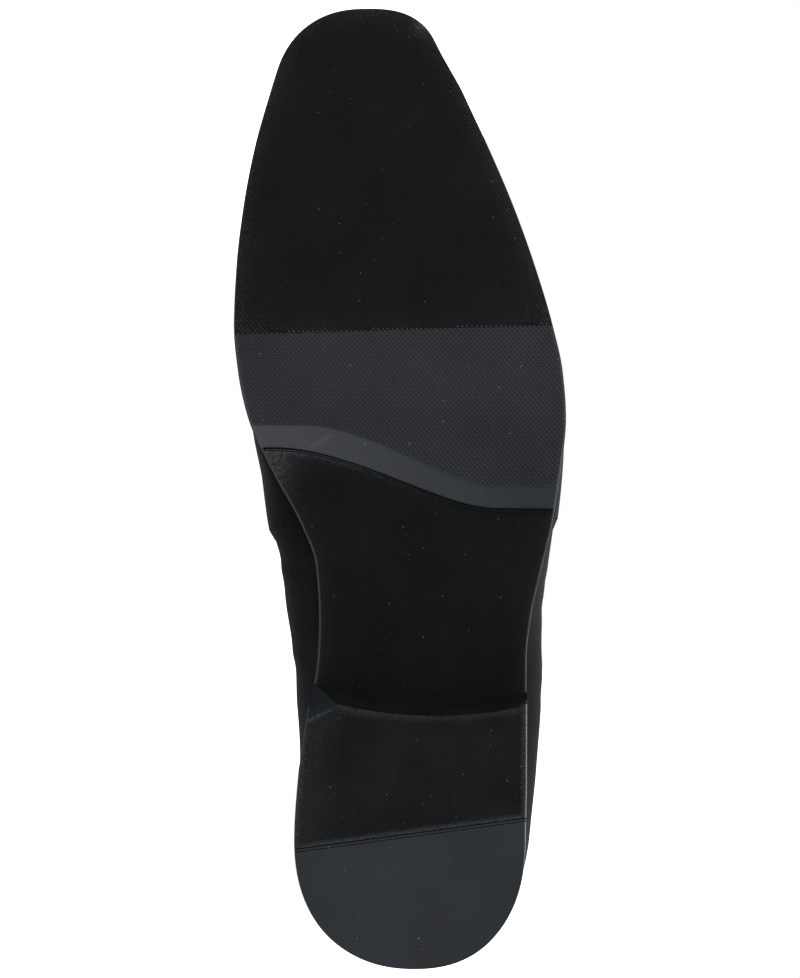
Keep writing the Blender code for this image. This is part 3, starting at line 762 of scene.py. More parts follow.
def grow(name, tree, points, values, material, edges=(), wear=None):
    """Runs a node tree on points in the shoe's own frame and keeps the result as a plain piece."""
    mesh = bpy.data.meshes.new(name + "_points")
    mesh.from_pydata(points, edges, [])
    if wear is not None:
        mark_wear(mesh, wear)
    base = add_object(name + "_points", mesh)
    modifier = base.modifiers.new("repeat", "NODES")
    modifier.node_group = tree
    values = {**values, "Material": material}
    for item in tree.interface.items_tree:
        if item.in_out == "INPUT" and item.name in values:
            modifier[item.identifier] = values[item.name]
    depsgraph = bpy.context.evaluated_depsgraph_get()
    depsgraph.update()
    made = bpy.data.meshes.new_from_object(base.evaluated_get(depsgraph))
    made.name = name
    made.materials.clear()
    bpy.data.objects.remove(base)
    bpy.data.meshes.remove(mesh)
    finish_piece(name, made, [material], "", 30)


def make_knurl(grey, flocked):
    """Fine knurl: studs on the bare rubber, and lower ones under the flock."""
    sizes = bpy.context.scene.loafer_sizes
    across, along, height = sizes.stud_across, sizes.stud_along, sizes.stud_height
    defaults = {"Across": 0.0014, "Along": 0.0015, "Height": 0.0003, "Top": 0.4}
    tree = repeat_tree("tread studs", defaults, lay_studs)
    bare = lattice(across, along / 2, lambda x, v: band_front(v) + 0.0006 < x < flock_edge(v) + 0.0007)
    shape = {"Across": across * 0.84, "Along": along * 0.76, "Height": height, "Top": 0.45}
    grow("tread_studs", tree, bare, shape, grey)
    under = lattice(across, along / 2, lambda x, v: x > flock_edge(v) + 0.0009)
    under = [(x, y, z - SUNK) for x, y, z in under]
    shape = {"Across": across * 0.72, "Along": along * 0.66, "Height": height * 0.3, "Top": 0.4}
    grow("flock_studs", tree, under, shape, flocked, wear=stud_wear)


def waist_wear(point):
    """Wear of the waist's flock: a rubbed patch at its inner front corner, fading along its front edge."""
    x, y = point.x * 1000, point.y * 1000
    behind = tread_edge(across_at(point, WAIST_RIM)) * 1000 - x - 1.1
    corner = spot(x, y, *WAIST_SPOT)
    front = fade(behind, 0.5) * max(0.0, 1 - across_at(point) * 1.6)
    near = 0.20 * fade(behind, 3.0) * fade(y + 44, 26)
    side = 0.10 * fade(edge_gap(point), 0.0022)
    return min(1.0, 0.46 * corner + 0.9 * front + near + side)


def make_waist_flock(material):
    """Flock over the waist, inside a narrow rim of bare rubber."""

    def lines(inset):
        near = [lambda v, d=d: tread_edge(v) - d - inset for d in (0.0011, 0.0013, 0.0016, 0.0021, 0.0030)]
        return near + [lambda v, u=k / 60: near[-1](v) * (1 - u) + WAIST_BACK * u for k in range(1, 61)]

    sheet = layers(WAIST_FLOCK_PROFILE, lines, WAIST_RIM, TREAD_COLUMNS, underside)
    make_piece("waist_flock", sheet, [material], "", wear=waist_wear)


def round_shares(depth, squareness, steps):
    """Shares of the length over a round end of the outline, from its tip to its depth."""
    turns = [math.pi / 2 * k / steps for k in range(steps + 1)]
    return [depth / SOLE_LENGTH * (1 - math.cos(turn) ** (2 / squareness)) for turn in turns]


def heel_outline(inset, forward):
    """Plan of the heel: its two sides and the bowed breast, moved forward as the breast slopes."""
    round_back = round_shares(HEEL_ROUND_DEPTH, HEEL_SQUARENESS, HEEL_ROUND_STEPS)[1:-1]

    def side_points(side, end):
        end += forward / SOLE_LENGTH
        last = round_back[-1]
        straight = [last + (end - last) * k / HEEL_SIDE_STEPS for k in range(1, HEEL_SIDE_STEPS + 1)]
        points = []
        for share in round_back + straight:
            along = edge_point(share + 0.0005, side) - edge_point(max(share - 0.0005, 0.0), side)
            points.append(edge_point(share, side) - outward(along, side) * inset)
        return points

    outer, inner = side_points(1, BREAST_OUTER_SHARE), side_points(-1, BREAST_INNER_SHARE)
    breast = []
    for k in range(1, BREAST_STEPS):
        u = k / BREAST_STEPS
        bow = BREAST_BOW * 4 * u * (1 - u)
        breast.append(outer[-1].lerp(inner[-1], u) - Vector((bow + inset, 0)))
    return [edge_point(0.0, 1) + Vector((inset, 0))] + outer + breast + inner[::-1]


def cut_plane(bm, point, normal):
    """Removes what lies on the side that the normal points to, and closes the cut."""
    everything = bm.verts[:] + bm.edges[:] + bm.faces[:]
    cut = bmesh.ops.bisect_plane(bm, geom=everything, dist=1e-7, plane_co=point, plane_no=normal,
                                 clear_outer=True)
    edges = [e for e in cut["geom_cut"] if isinstance(e, bmesh.types.BMEdge)]
    bmesh.ops.contextual_create(bm, geom=edges)


def corner_cut():
    """Plane of the cut at the inner front corner of the heel: a point on it and its normal."""
    corner = edge_point(BREAST_INNER_SHARE, -1)
    top = edge_point(BREAST_INNER_SHARE + BREAST_SLOPE / SOLE_LENGTH, -1)
    high = Vector((top.x, top.y, underside(top.x)))
    back = Vector((corner.x - CORNER_CUT_ALONG, edge_point(BREAST_INNER_SHARE - 0.03, -1).y, 0.0))
    side = Vector((corner.x, corner.y + CORNER_CUT_ACROSS, 0.0))
    normal = (back - high).cross(side - high).normalized()
    if normal.x < 0:
        normal.negate()
    return high, normal


def heel_solid(levels):
    """Heel between levels, each an inset and a height function of the distance along the shoe."""
    bm = bmesh.new()
    rings = []
    for inset, height in levels:
        forward = BREAST_SLOPE * height(0.06) / HEEL_HEIGHT
        rings.append([bm.verts.new((p.x, p.y, height(p.x))) for p in heel_outline(inset, forward)])
    join_rings(bm, rings)
    bm.faces.new(rings[0])
    bm.faces.new(rings[-1])
    bmesh.ops.recalc_face_normals(bm, faces=bm.faces[:])
    cut_plane(bm, *corner_cut())
    return bm


def tip_joint():
    """Joint between the top lift and the rear tip: a point on it and its normal, towards the toe."""
    inner = edge_point(TIP_JOINT_INNER_SHARE, -1)
    outer = edge_point(TIP_JOINT_OUTER_SHARE, 1)
    along = outer - inner
    normal = Vector((along.y, -along.x, 0.0)).normalized()
    if normal.x < 0:
        normal.negate()
    return Vector((inner.x, inner.y, 0.0)), normal


def rim_glint(point):
    """Painted glint on the heel's walking edge: bright along the outer side, fading where the heel turns round.
    """
    if not 0.00005 < point.z < 0.002:
        return 0.0
    gap = edge_point(point.x / SOLE_LENGTH, 1).y - HEEL_TAPER - point.y
    return held((point.x - 0.026) / 0.014) * fade(gap, 0.0009)


def make_heel(edge, breast, corner, flock, rubber, rubbed):
    """Heel block, flocked top lift and smooth tip, with a double groove between the last two."""
    base = LIFT_THICK + CLEARANCE
    levels = [(HEEL_TAPER, lambda x: base), (HEEL_TAPER / 2, lambda x: base + 0.0005),
              (0.0, lambda x: underside(x) - CLEARANCE)]

    # The breast's faces get the matt breast flock, kept dark as painted shade under the waist.
    def block_face(middle, normal):
        return 1 if normal.x > BREAST_FACING else 2 if normal.x > CORNER_FACING and normal.y < 0 else 0

    # On the top lift, the low outer bevel gets the painted glint and the breast the dark breast flock of painted
    # shade.
    def lift_face(middle, normal):
        if tip_face(middle, normal):
            return 2
        if normal.x > BREAST_FACING:
            return 1
        return 3 if normal.x > CORNER_FACING and normal.y < 0 and normal.z > -0.95 else 0

    # Low faces on the outer side: they get the rubber with the painted glint.
    def tip_face(middle, normal):
        return 1 if normal.y > 0.3 and normal.z < -0.1 and middle.z < 0.0009 else 0

    make_piece("heel_block_rubber", heel_solid(levels), [edge, breast, corner], "heel_block",
               choose=block_face)
    flat = [(HEEL_TAPER + inset, lambda x, r=rise: r) for inset, rise in arc(LIFT_ROUND, 3)]
    flat.append((HEEL_TAPER, lambda x: LIFT_THICK))
    point, forward = tip_joint()
    lift = heel_solid(flat)
    cut_plane(lift, point + forward * LIFT_GAP, -forward)
    make_piece("top_lift_flock", lift, [flock, breast, rubbed, corner], "top_lift",
               wear=rim_glint, choose=lift_face)
    lip = heel_solid([(i, lambda x, h=h: h(x) + 0.00005) for i, h in flat[:-1]] + [flat[-1]])
    cut_plane(lip, point - forward * LIP_FRONT, forward)
    cut_plane(lip, point - forward * LIP_BACK, -forward)
    make_piece("tip_lip_rubber", lip, [rubber], "")
    tip = heel_solid(flat)
    cut_plane(tip, point - forward * TIP_FRONT, forward)
    make_piece("heel_tip_rubber", tip, [rubber, rubbed], "heel_tip", wear=rim_glint,
               choose=tip_face)


def topline(share):
    """Height of the upper's edge above the sole."""
    climb = smooth(TOPLINE, "climb", share / THROAT_SHARE)
    quarter = COLLAR_HEIGHT * smooth(TOPLINE, "quarter", share / THROAT_SHARE)
    return quarter + (INSTEP_HEIGHT * smooth(SECTIONS, "crown", share) - quarter) * climb


def column(point, out, side, low_rows, high_rows):
    """Section of the upper's inner surface above one point of the outline, from the sole to its edge."""
    share = point.x / SOLE_LENGTH
    blend = (side + 1) / 2
    overhang = BALL_WIDTH * (
        smooth(SECTIONS, "overhang_outer", share) * blend
        + smooth(SECTIONS, "overhang_inner", share) * (1 - blend)
    )
    foot = point - out * (SOLE_MARGIN + WALL)
    widest = point + out * (overhang - WALL)
    pole = held(share, HEEL_POLE_SHARE, TOE_POLE_SHARE)
    crown = Vector((pole * SOLE_LENGTH, BALL_WIDTH * smooth(SECTIONS, "side", pole)))
    crown_z = seat(crown.x) + INSTEP_HEIGHT * smooth(SECTIONS, "crown", pole)
    foot_z = seat(foot.x) + CLEARANCE
    widest_z = foot_z + INSTEP_HEIGHT * smooth(SECTIONS, "widest", share)
    lean = smooth(SECTIONS, "lean", share)

    def low(u):
        plan = foot + (widest - foot) * math.sin(math.pi / 2 * u)
        return Vector((plan.x, plan.y, foot_z + (widest_z - foot_z) * u))

    def high(turn):
        plan = crown + (widest - crown) * max(0.0, math.cos(turn)) ** (2 / CROWN_ROUNDNESS)
        return Vector((plan.x, plan.y, widest_z + (crown_z - widest_z) * math.sin(turn) ** (2 / lean)))

    end = math.pi / 2
    if share < THROAT_SHARE - 1e-6:
        start = 0.0
        for _ in range(30):
            middle = (start + end) / 2
            p = high(middle)
            if p.z < seat(p.x) + topline(p.x / SOLE_LENGTH):
                start = middle
            else:
                end = middle
    points = [low(k / low_rows) for k in range(low_rows)]
    points += [high(end * k / high_rows) for k in range(high_rows + 1)]
    return points


def upper_shares():
    """Shares of the length where the upper is divided, close together at its ends, seams and throat."""
    heel = HEEL_ROUND_DEPTH / SOLE_LENGTH
    back = round_shares(HEEL_ROUND_DEPTH, HEEL_SQUARENESS, 16)
    front = [1 - share for share in reversed(round_shares(TOE_ROUND_DEPTH, TOE_SQUARENESS, 16))]
    seam = SIDE_SEAM_SHARE
    quarter = [heel + (seam - 0.004 - heel) * k / 44 for k in range(1, 45)]
    at_seam = [seam, seam + 0.0012, seam + 0.003, seam + 0.006]
    reach = THROAT_SHARE - seam - 0.010
    throat = [THROAT_SHARE - reach * (k / 18) ** 2 for k in range(18, -1, -1)]
    vamp = [THROAT_SHARE + 0.0015, THROAT_SHARE + 0.004, THROAT_SHARE + 0.0075]
    vamp += [THROAT_SHARE + 0.012 + (front[0] - THROAT_SHARE - 0.012) * k / 52 for k in range(52)]
    return back + quarter + at_seam + throat + vamp + front


class UpperForm:
    """The upper's inner surface as a grid of points with their normals, round the whole shoe."""

    made = None

    def __init__(self, low_rows, high_rows):
        shares = upper_shares()
        outer = [edge_point(share, 1) for share in shares]
        plan = outer + [edge_point(share, -1) for share in shares[-2:0:-1]]
        self.count = len(plan)
        self.rows = low_rows + high_rows + 1
        self.shares = [point.x / SOLE_LENGTH for point in plan]
        last = len(shares) - 1
        self.sides = [0 if k in (0, last) else 1 if k < last else -1 for k in range(self.count)]
        self.columns = []
        for k, point in enumerate(plan):
            out = outward(plan[(k + 1) % self.count] - plan[k - 1])
            self.columns.append(column(point, out, self.sides[k], low_rows, high_rows))
        self.closed = [share > THROAT_SHARE - 1e-6 for share in self.shares]
        self.find_normals()

    @classmethod
    def shared(cls):
        """The form that all pieces of the upper are made on."""
        if cls.made is None:
            cls.made = cls(UPPER_LOW_ROWS, UPPER_HIGH_ROWS)
        return cls.made

    def find_normals(self):
        """Finds the outward normal at each point of the grid, with the points of the instep line made one."""
        bm = bmesh.new()
        poles = {}
        grid = []
        for closed, points in zip(self.closed, self.columns):
            verts = [bm.verts.new(point) for point in points[:-1]]
            last = points[-1]
            key = (round(last.x, 6), round(last.y, 6)) if closed else len(grid)
            if key not in poles:
                poles[key] = bm.verts.new(last)
            grid.append(verts + [poles[key]])
        for here, after in zip(grid, grid[1:] + grid[:1]):
            for row in range(self.rows - 1):
                corners = [here[row + 1], after[row + 1], after[row], here[row]]
                bm.faces.new(corners[1 if corners[0] is corners[1] else 0:])
        bm.normal_update()
        bm.verts.index_update()
        self.index = [[vert.index for vert in verts] for verts in grid]
        self.normals = [[vert.normal.copy() for vert in verts] for verts in grid]
        bm.free()

    def shell(self, keep, inside, outside):
        """Closed wall over the columns kept, from a distance inside to a function of a column and a row."""
        bm = bmesh.new()
        made = {}

        def vert(k, row):
            key = self.index[k][row]
            if key not in made:
                point, normal = self.columns[k][row], self.normals[k][row].copy()
                if row == 0:
                    normal.z = 0.0
                    normal.normalize()
                made[key] = [bm.verts.new(point + normal * far) for far in (inside, outside(k, row))]
            return made[key]

        edges = {}
        for k in range(self.count):
            after = (k + 1) % self.count
            if not (keep(k) and keep(after)):
                continue
            for row in range(self.rows - 1):
                corners = [(k, row + 1), (after, row + 1), (after, row), (k, row)]
                if self.index[k][row + 1] == self.index[after][row + 1]:
                    corners.pop(0)
                pairs = [vert(*corner) for corner in corners]
                bm.faces.new([pair[1] for pair in pairs])
                bm.faces.new([pair[0] for pair in reversed(pairs)])
                for a, b in zip(pairs, pairs[1:] + pairs[:1]):
                    key = frozenset((a[0], b[0]))
                    edges[key] = None if key in edges else (a, b)
        for a, b in filter(None, edges.values()):
            bm.faces.new((a[0], a[1], b[1], b[0]))
        return bm


def relief(point, side):
    """How far the velvet stands out or falls in at a place, as soft creases of the worn-in last."""
    height = point.z - seat(point.x)
    depth = 0.0
    for crease_side, share, across, up, dip, width, low, high in CREASES:
        if crease_side in (0, side):
            middle = share + across * point.y / BALL_WIDTH + up * height / COLLAR_HEIGHT
            away = (point.x / SOLE_LENGTH - middle) / width
            fade = held((height - low) / CREASE_FADE) * held((high - height) / CREASE_FADE)
            depth -= dip * math.exp(-away * away) * eased(fade)
    return depth


def lap(share):
    """How far the vamp stands out over the quarters: a small crisp step at the seam, then a soft swell."""
    beyond = share - SIDE_SEAM_SHARE
    return VAMP_OVERLAP * (0.22 * held(beyond / 0.0012) + 0.78 * eased(beyond / 0.0135))


def make_upper(velvet, form):
    """Quarters and vamp of velvet. The vamp laps over the quarters at the side seams."""

    def quarter_face(k, row):
        return WALL + (relief(form.columns[k][row], form.sides[k]) if row else 0.0)

    def vamp_face(k, row):
        return quarter_face(k, row) + (lap(form.shares[k]) if row else 0.0)

    for name, keep, face in (
        ("quarters_velvet", lambda k: form.shares[k] < SIDE_SEAM_SHARE + 0.0006, quarter_face),
        ("vamp_velvet", lambda k: form.shares[k] > SIDE_SEAM_SHARE - 1e-6, vamp_face),
    ):
        make_piece(name, form.shell(keep, VELVET_BACK, face), [velvet], "upper", 50)


def make_lining(leather, form):
    """Smooth lining inside the upper."""
    lining = form.shell(lambda k: True, 0.0, lambda k, row: LINING_THICK)
    make_piece("lining_leather", lining, [leather], "", 50)


def walk_down(form, k, depth):
    """Point and normal of the form at a depth below the edge of a column, along its line."""
    points, normals = form.columns[k], form.normals[k]
    for row in range(len(points) - 1, 0, -1):
        step = (points[row] - points[row - 1]).length
        if step >= depth:
            share = depth / step
            normal = normals[row].lerp(normals[row - 1], share).normalized()
            return points[row].lerp(points[row - 1], share), normal
        depth -= step
    return points[0], normals[0]


def collar_line(form):
    """Columns round the collar, from the back over the outer side to the throat and back on the inner one."""
    return [k for k in range(form.count) if not form.closed[k] or abs(form.shares[k] - THROAT_SHARE) < 1e-6]


def ribbon_section(form, k, depth):
    """Points round the ribbon over one column: the outer face up, over the edge and down inside, and back."""
    wall = WALL + lap(form.shares[k] + 0.002)
    down = [walk_down(form, k, depth * step / RIBBON_STEPS) for step in range(RIBBON_STEPS + 1)]
    top, normal = form.columns[k][-1], form.normals[k][-1]
    up = (top - walk_down(form, k, 0.001)[0]).normalized()
    middle = top + normal * wall / 2
    turns = [math.radians(turn) for turn in (30, 60, 90, 120, 150)]
    section = [point + out * (wall + RIBBON_THICK) for point, out in reversed(down)]
    section += [middle + normal * (wall / 2 + RIBBON_THICK) * math.cos(a) + up * RIBBON_FOLD * math.sin(a)
                for a in turns]
    section += [point - out * VELVET_BACK for point, out in down]
    section += [point - out * RIBBON_HOLLOW for point, out in reversed(down)]
    return section + [point + out * (wall + RIBBON_HOLLOW) for point, out in down]


def make_ribbon(material, form):
    """Ribbed ribbon folded over the collar's edge, one rib after another round it."""
    sections = [ribbon_section(form, k, RIBBON_DEPTH) for k in collar_line(form)]
    table = np.array(sections + sections[:1])
    crest, face_points = 8, 17  # places in a section: the top of its fold, and the end of its outside
    steps = np.linalg.norm(np.diff(table[:, crest], axis=0), axis=1)
    along = np.concatenate(([0.0], np.cumsum(steps)))
    count = round(along[-1] / bpy.context.scene.loafer_sizes.rib_pitch) * 4
    places = np.linspace(0.0, along[-1], count, endpoint=False)
    made = np.empty((count, *table.shape[1:]))
    for point in np.ndindex(table.shape[1:]):
        made[:, point[0], point[1]] = np.interp(places, along, table[:, point[0], point[1]])
    lift = np.array([1.0, 0.6, -0.6, 1.0])[np.arange(count) % 4] * RIB_HEIGHT
    out = made[:, :face_points] - made.mean(axis=1, keepdims=True)
    out /= np.linalg.norm(out, axis=2, keepdims=True)
    made[:, :face_points] += out * lift[:, None, None]
    bm = bmesh.new()
    rings = [[bm.verts.new(point) for point in points] for points in made]
    join_rings(bm, rings + rings[:1])
    make_piece("collar_ribbon", bm, [material], "topline_binding", 60)


def lay_stitches(nodes, start):
    """Stitches one after another along a line."""
    line = nodes.node("GeometryNodeMeshToCurve", {"Mesh": start["Geometry"]}).outputs["Curve"]
    spaced = nodes.node("GeometryNodeResampleCurve", {"Curve": line, "Length": start["Pitch"]}, mode="LENGTH")
    tangent = nodes.node("GeometryNodeInputTangent").outputs["Tangent"]
    turn = nodes.node("FunctionNodeAlignRotationToVector", {"Vector": tangent}, axis="Z")
    stitch = nodes.node("GeometryNodeMeshUVSphere", {"Segments": 6, "Rings": 6, "Radius": 0.5})
    size = nodes.node("ShaderNodeCombineXYZ", {"X": start["Thick"], "Y": start["Thick"], "Z": start["Length"]})
    return {"Points": spaced.outputs["Curve"], "Instance": stitch.outputs["Mesh"],
            "Rotation": turn.outputs["Rotation"], "Scale": size.outputs["Vector"]}


def wall_line(share, side, thick, top_gap):
    """Line up the upper's outer face at a share of the length, from above the sole to below the collar."""
    step = 0.0015

    def section(at):
        along = edge_point(at + step, side) - edge_point(at - step, side)
        return column(edge_point(at, side), outward(along, side), side, UPPER_LOW_ROWS, STITCH_ROWS)

    before, here, after = section(share - step), section(share), section(share + step)
    line = []
    for row in range(2, len(here) - 1):
        normal = (here[row + 1] - here[row - 1]).cross(after[row] - before[row]).normalized()
        middle_x = held(here[row].x, HEEL_ROUND_DEPTH, 0.28)
        if normal.dot(here[row] - Vector((middle_x, 0.0, seat(middle_x) + 0.02))) < 0:
            normal.negate()
        line.append(here[row] + normal * thick)
    return [point for point in line if (point - here[-1]).length > top_gap]


def make_stitches(thread, form):
    """Rows of stitches: one at each side seam, one each side of the back seam and one along the ribbon."""
    points, edges = [], []

    def add(line):
        first = len(points)
        points.extend(tuple(point) for point in line)
        edges.extend((first + k, first + k + 1) for k in range(len(line) - 1))

    share = SIDE_SEAM_SHARE + 0.0006 + SEAM_STITCH_GAP / SOLE_LENGTH
    for side in (1, -1):
        add(wall_line(share, side, WALL + lap(share), SEAM_STITCH_TOP))
    for side in (1, -1):
        add(wall_line(BACK_STITCH_SHARE, side, WALL + 0.00005, BACK_STITCH_TOP))
    first = len(points)
    sections = [ribbon_section(form, k, RIBBON_STITCH_DEPTH) for k in collar_line(form)]
    add([section[0] + (section[0] - section[-1]).normalized() * 0.00005 for section in sections])
    edges.append((len(points) - 1, first))
    sizes = bpy.context.scene.loafer_sizes
    shape = {"Pitch": sizes.stitch_pitch, "Length": sizes.stitch_length, "Thick": sizes.stitch_thick}
    tree = repeat_tree("stitches", {"Pitch": 0.0028, "Length": 0.0022, "Thick": 0.00045}, lay_stitches)
    grow("upper_stitches", tree, points, shape, thread, edges)


def make_sock(material):
    """Leather sock over the insole."""
    rim = SOLE_MARGIN + WALL + CLEARANCE + 0.0009
    levels = [(0.0, CLEARANCE)]
    levels += [(inset, INSOLE_THICK + CLEARANCE - rise) for inset, rise in reversed(arc(SOCK_ROUND, 3))]
    sheet = layers(levels, lambda inset: sole_lines(rim + inset, 90), rim, 16, seat)
    make_piece("sock_leather", sheet, [material], "insole")


class Shader(Nodes):
    """A material under construction."""

    def __init__(self, name):
        self.material = bpy.data.materials.new(name)
        self.material.use_nodes = True
        super().__init__(self.material.node_tree)
        self.surface = self.tree.nodes["Principled BSDF"]
        self.surface.inputs["Metallic"].default_value = 0.0

    def set(self, **inputs):
        """Sets inputs of the surface by name, with spaces as underscores."""
        for key, value in inputs.items():
            self.feed(self.surface.inputs[key.replace("_", " ")], value)

    def math(self, operation, a, b=0.0, c=0.0, use_clamp=False):
        """Result of a sum on one, two or three values."""
        inputs = {0: a, 1: b, 2: c}
        return self.node("ShaderNodeMath", inputs, operation=operation, use_clamp=use_clamp).outputs[0]

    def plus(self, a, b):
        """Sum of two values."""
        return self.math("ADD", a, b)

    def minus(self, a, b):
        """Difference of two values."""
        return self.math("SUBTRACT", a, b)

    def times(self, a, b, added=None):
        """Product of two values, with a third one added to it if there is one."""
        return self.math("MULTIPLY", a, b) if added is None else self.math("MULTIPLY_ADD", a, b, added)

    def most(self, *values):
        """The greatest of some values."""
        found = values[0]
        for value in values[1:]:
            found = self.math("MAXIMUM", found, value)
        return found

    def place(self):
        """Place on the object in the shoe's own frame, in millimetres."""
        coordinates = self.node("ShaderNodeTexCoord").outputs["Object"]
        inputs = {"Vector": coordinates, "Location": SHOE.to_translation(), "Rotation": SHOE.to_euler("XYZ"),
                  "Scale": (0.001, 0.001, 0.001)}
        return self.node("ShaderNodeMapping", inputs, vector_type="TEXTURE").outputs["Vector"]

    def wear(self):
        """How worn the piece is, and how strong its painted light is, from 0 to 1."""
        return self.node("ShaderNodeAttribute", attribute_name="wear").outputs["Fac"]

    def noise(self, place, scale, detail=3.0, roughness=0.5):
        """Noise of a scale per millimetre."""
        inputs = {"Vector": place, "Scale": scale, "Detail": detail, "Roughness": roughness}
        return self.node("ShaderNodeTexNoise", inputs).outputs["Fac"]

    def mix(self, share, low, high):
        """Colour between two others."""
        node = self.node("ShaderNodeMix", data_type="RGBA")
        self.feed(node.inputs["Factor"], share)
        self.feed(node.inputs["A"], low)
        self.feed(node.inputs["B"], high)
        return node.outputs["Result"]

    def spread(self, value, low, high, to_low=0.0, to_high=1.0):
        """Maps a value from one range to another, held within it."""
        inputs = {"Value": value, "From Min": low, "From Max": high, "To Min": to_low, "To Max": to_high}
        return self.node("ShaderNodeMapRange", inputs).outputs["Result"]

    def fading(self, value, near, far, strength=1.0):
        """A strength that falls to nothing as a value goes from near to far."""
        return self.spread(value, near, far, strength, 0.0)

    def vary(self, value, low, high, colour, dark, light):
        """A colour that goes from a darker to a lighter share of itself as a value goes from low to high."""
        return self.mix(self.spread(value, low, high), shade(colour, dark), shade(colour, light))

    def bump(self, height, distance, strength=1.0, normal=None):
        """Bump of a height between 0 and 1 over a depth in metres."""
        inputs = {"Height": height, "Distance": distance, "Strength": strength}
        if normal is not None:
            inputs["Normal"] = normal
        return self.node("ShaderNodeBump", inputs).outputs["Normal"]


def shade(colour, share):
    """A colour made lighter or darker."""
    return tuple(part * share for part in colour)


def material_once(make, name, *values):
    """The material of a name, made the first time that it is asked for."""
    found = bpy.data.materials.get(name)
    return found if found is not None else make(name, *values)


def speckled(shader, place, colour, size, share, speck):
    """Adds sparse light specks of dust to a colour. Size is the mean gap between them, in millimetres."""
    cells = shader.node("ShaderNodeTexVoronoi", {"Vector": place, "Scale": 1 / size}).outputs
    chance = shader.node("ShaderNodeSeparateColor", {"Color": cells["Color"]}).outputs
    radius = shader.spread(chance["Green"], 0, 1, 0.035, 0.11)
    near = shader.math("LESS_THAN", cells["Distance"], radius)
    kept = shader.spread(chance["Red"], 1 - share, 1.0)
    return shader.mix(shader.times(near, kept), colour, speck)


def flock_material(name, colour, worn, speck_share=0.34, mask=None, specular=0.05, sheen=0.035):
    """Short matt fibres pressed on rubber, with sparse light specks, lighter where worn and where light is
    painted.
    """
    shader = Shader(name)
    place = shader.place()
    patches = shader.noise(place, 0.05, 4.0, 0.62)
    fibres = shader.noise(place, 2.8, 2.0, 0.7)
    tufts = shader.noise(place, 1.1, 3.0, 0.65)
    wear = shader.wear()
    # A mask adds painted light, as the top lift's highlights do.
    if mask is not None:
        wear = shader.plus(wear, mask(shader, place, tufts))
    wear = shader.times(wear, shader.spread(tufts, 0.40, 0.66, 0.25, 1.0))
    wear = shader.node("ShaderNodeClamp", {"Value": wear}).outputs["Result"]
    base = shader.vary(patches, 0.36, 0.66, colour, 0.7, 1.22)
    base = shader.mix(shader.spread(fibres, 0.56, 0.76, 0.0, 0.6), base, shade(colour, 2.4))
    base = shader.mix(wear, base, worn)
    shader.set(
        Base_Color=speckled(shader, place, base, 2.2, speck_share, FLOCK_DUST),
        Roughness=0.95,
        Specular_IOR_Level=specular,
        Sheen_Weight=sheen,
        Sheen_Roughness=0.5,
        Normal=shader.bump(fibres, 0.00015, 0.6),
    )
    return shader.material


def lift_highlight_mask(shader, place, tufts):
    """Painted highlights on the top lift: lighter along its front, its cut corner and both its sides, with a
    softer painted light that fades in over about 13 mm from its inner side. It is also lighter along its ragged
    rear edge.
    """
    axes = shader.node("ShaderNodeSeparateXYZ", {"Vector": place}).outputs
    x, y = axes["X"], axes["Y"]
    bow = shader.times(shader.times(y, y), *LIFT_BOW)
    front = shader.minus(shader.plus(shader.times(y, *LIFT_FRONT), bow), x)
    corner = shader.minus(shader.times(y, *LIFT_CORNER), x)
    joint = shader.minus(x, shader.times(y, *LIFT_JOINT))
    ragged = shader.plus(joint, shader.spread(tufts, 0.35, 0.65, -0.7, 0.7))
    inner = shader.times(x, LIFT_INNER[0], shader.plus(y, LIFT_INNER[1]))
    found = shader.most(
        shader.fading(front, 0.2, 2.8, 0.40),
        shader.times(shader.fading(corner, 0.2, 3.4, 1.8), shader.fading(y, -30.0, -14.0)),
        shader.fading(shader.minus(LIFT_OUTER, y), 0.2, 2.4, 0.8),
        shader.fading(ragged, 1.0, 1.9, 0.7),
        shader.plus(shader.fading(inner, 0.2, 1.9, 0.5), shader.fading(inner, 0.6, 13.0, 0.24)),
    )
    return shader.times(found, shader.fading(axes["Z"], 0.5, 1.2))


def scratch_mask(shader, place):
    """A faint slanting scratch on the band, and two short ones beside it."""
    axes = shader.node("ShaderNodeSeparateXYZ", {"Vector": place}).outputs
    scratches = []
    for x, y, turn, length, width, strength in SCRATCHES:
        along_x, along_y = math.cos(turn), math.sin(turn)
        from_x, from_y = shader.minus(axes["X"], x), shader.minus(axes["Y"], y)
        along = shader.times(from_x, along_x, shader.times(from_y, along_y))
        across = shader.times(from_x, -along_y, shader.times(from_y, along_x))
        beside = shader.fading(shader.math("ABSOLUTE", across), 0.2 * width, width, strength)
        within = shader.fading(shader.math("ABSOLUTE", along), 0.55 * length, length)
        scratches.append(shader.times(beside, within))
    return shader.most(*scratches)


def rubber_material(name, colour, worn, roughness, specular, scratched=False):
    """Moulded rubber with a fine satin surface and a little dust, lighter where worn and where light is painted.
    """
    shader = Shader(name)
    place = shader.place()
    patches = shader.noise(place, 0.045)
    grain = shader.noise(place, 2.2, 3.0, 0.6)
    wear = shader.wear()
    if scratched:
        wear = shader.math("ADD", wear, scratch_mask(shader, place), use_clamp=True)
    base = shader.mix(wear, shader.vary(patches, 0.3, 0.7, colour, 0.8, 1.2), worn)
    shader.set(
        Base_Color=speckled(shader, place, base, 3.5, 0.35, RUBBER_DUST),
        Roughness=shader.spread(grain, 0.3, 0.7, roughness - 0.06, roughness + 0.06),
        Specular_IOR_Level=specular,
        Normal=shader.bump(grain, 0.00004, 0.5),
    )
    return shader.material


